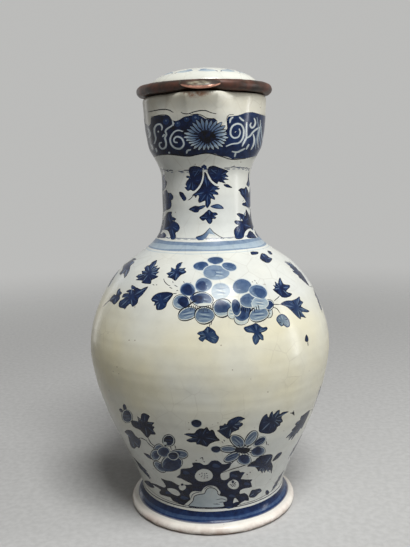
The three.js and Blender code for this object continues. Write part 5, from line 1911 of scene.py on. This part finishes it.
right = [(3.5, 0), (3.9, 2.6), (5.9, 4.9), (7.0, 7.2), (6.2, 9.4), (4.2, 10.2), (2.4, 11.0), (0, 11.4)]
left = np.array(right[:-1][::-1]) * [-1, 1]
thumb_outline = smooth_path(np.vstack([right, left]), 3, closed=True)
thumb = plate_mesh(thumb_outline, 1.9, 0.6, thumb_place)
piece_of("thumb_leaf", thumb, "lid", "thumbpiece")

# Handle band. A copper strip bent right round the handle, its two ends turned down beneath as ears
# and drawn together by one rivet. It carries the hinge's plate.
BAND_GAP = 0.3
BAND_HALF_SHEET = 0.6
BAND_MEAN = HANDLE_THICKNESS / 2 + BAND_GAP + BAND_HALF_SHEET
STRAP_FLAT_HALF = (HANDLE_WIDTH - HANDLE_THICKNESS) / 2
half_turn = np.linspace(0, np.pi, 16)
side_x = -STRAP_FLAT_HALF - BAND_MEAN * np.sin(half_turn)
side_arc = np.column_stack([side_x, HANDLE_TOP - BAND_MEAN * np.cos(half_turn)])
ear = [(-0.95, 231.8), (-0.95, 235.0), (-0.97, 237.4), (-1.25, 238.4), (-2.2, HANDLE_TOP - BAND_MEAN)]
left = np.vstack([ear, side_arc, [(-3.0, HANDLE_TOP + BAND_MEAN)]])
strip = np.vstack([left, left[::-1] * [-1, 1]])
strip = np.column_stack([strip[:, 0], np.full(len(strip), HINGE_Y), strip[:, 1]])
band_section = rounded_box(across=1.15, up=9.9, corner=0.45)
band_wear = 0.5 * (np.abs(band_section[:, 1]) > 4.6)
band = swept_mesh(strip, False, band_section, band_wear.tolist(), 0.12, 260.0, aged_copper)
piece_of("band_strip", band, "jug", "handle_band")
rivet = pin_mesh(radius=1.05, length=3.3, head_radius=1.9, head_height=0.8, height=234.95)
piece_of("ear_rivet", rivet, "jug", "band_rivet")

# Lamps. A broad soft one high in front on the right, a window's light from the right and a weaker
# one from behind on the left, as the real glaze reflects them.
JUG_MIDDLE = Vector((0, 0, 0.13))


def soft_lamp(name, azimuth, elevation, distance, width, height, power):
    """A soft lamp that looks at the middle of the jug."""
    data = bpy.data.lights.new(name, "AREA")
    data.shape = "RECTANGLE"
    data.size, data.size_y = width, height
    data.energy = power
    turn, lift = math.radians(azimuth), math.radians(elevation)
    way = Vector((math.sin(turn) * math.cos(lift), -math.cos(turn) * math.cos(lift), math.sin(lift)))
    spin = way.to_track_quat("Z", "Y").to_matrix().to_4x4()
    new_object(name, data).matrix_world = Matrix.Translation(JUG_MIDDLE + distance * way) @ spin


soft_lamp("high_lamp", 23, 60, distance=1.2, width=0.5, height=0.36, power=13.5)
soft_lamp("right_window", 86, 6, distance=1.1, width=0.1, height=0.8, power=3.4)
soft_lamp("left_window", -135, 5, distance=1.3, width=0.25, height=0.8, power=0.6)

# Floor. A pale sweep, dulled where its light falls on the jug, that fades out far from the jug into
# the backdrop.
FLOOR_HALF = 3
floor_corners = [(x * FLOOR_HALF, y * FLOOR_HALF, 0) for x, y in ((-1, -1), (1, -1), (1, 1), (-1, 1))]
floor_mesh = bpy.data.meshes.new("floor")
floor_mesh.from_pydata(floor_corners, [], [(0, 1, 2, 3)])
floor = new_object("floor", floor_mesh)
tree, floor_material = new_material("pale_floor")
spot = node(tree, "ShaderNodeTexCoord").outputs["Object"]
cloth = noise(tree, 260.0, 2.0, 0.5, spot)
pale = graded(tree, cloth, [(0.35, (0.52, 0.52, 0.51)), (0.65, (0.58, 0.58, 0.57))])
seen_rays = node(tree, "ShaderNodeLightPath").outputs
seen = maths(tree, "MAXIMUM", seen_rays["Is Camera Ray"], seen_rays["Is Glossy Ray"])
tone = blended(tree, seen, (0.26, 0.255, 0.25), pale)
surface = node(tree, "ShaderNodeBsdfPrincipled", {"Base Color": tone, "Roughness": 0.9})
away = node(tree, "ShaderNodeVectorMath", {"Vector": spot}, operation="LENGTH").outputs["Value"]
fading = {"Value": away, "From Min": 0.3, "From Max": 1.1}
fade = node(tree, "ShaderNodeMapRange", fading, interpolation_type="SMOOTHSTEP")
clear = node(tree, "ShaderNodeBsdfTransparent")
sweep = node(tree, "ShaderNodeMixShader", {"Fac": fade.outputs["Result"]})
tree.links.new(surface.outputs["BSDF"], sweep.inputs[1])
tree.links.new(clear.outputs[0], sweep.inputs[2])
node(tree, "ShaderNodeOutputMaterial", {"Surface": sweep.outputs[0]})
floor_mesh.materials.append(floor_material)

# Surroundings. A pale backdrop that the camera sees, and a soft light from all round that is
# cooler and stronger on the front right and warm on the far side.
BRIGHT_WAY = (0.62, -0.76, 0.2)
world = bpy.data.worlds.new("studio")
world.use_nodes = True
bpy.context.scene.world = world
tree = world.node_tree
tree.nodes.clear()
rays = node(tree, "ShaderNodeLightPath").outputs
mirror = maths(tree, "MAXIMUM", rays["Is Glossy Ray"], rays["Is Transmission Ray"])
seen = maths(tree, "MAXIMUM", rays["Is Camera Ray"], mirror)
way = node(tree, "ShaderNodeTexCoord").outputs["Generated"]
facing = node(tree, "ShaderNodeVectorMath", {0: way, 1: BRIGHT_WAY}, operation="DOT_PRODUCT").outputs["Value"]
fill = ranged(tree, facing, 0.0, 1.0, 0.065, 0.46)
tint = blended(tree, ranged(tree, facing, -0.6, 0.6), (1.0, 0.93, 0.84), (0.99, 0.99, 1.0))
ambient = node(tree, "ShaderNodeBackground", {"Color": tint, "Strength": fill})
backdrop = node(tree, "ShaderNodeBackground", {"Color": (0.50, 0.50, 0.49, 1), "Strength": 1.0})
mix = node(tree, "ShaderNodeMixShader", {"Fac": seen})
tree.links.new(ambient.outputs[0], mix.inputs[1])
tree.links.new(backdrop.outputs[0], mix.inputs[2])
node(tree, "ShaderNodeOutputWorld", {"Surface": mix.outputs[0]})

# Camera. It stands where the photographer's did, a little above the jug's shoulder and turned
# slightly, with the lens that the outlines of foot, belly and ring give.
lens = bpy.data.cameras.new("camera")
lens.lens = LENS
lens.clip_start = 0.01
camera = new_object("camera", lens)
camera.matrix_world = camera_view
bpy.context.scene.camera = camera
bpy.context.scene.view_settings.view_transform = "Standard"
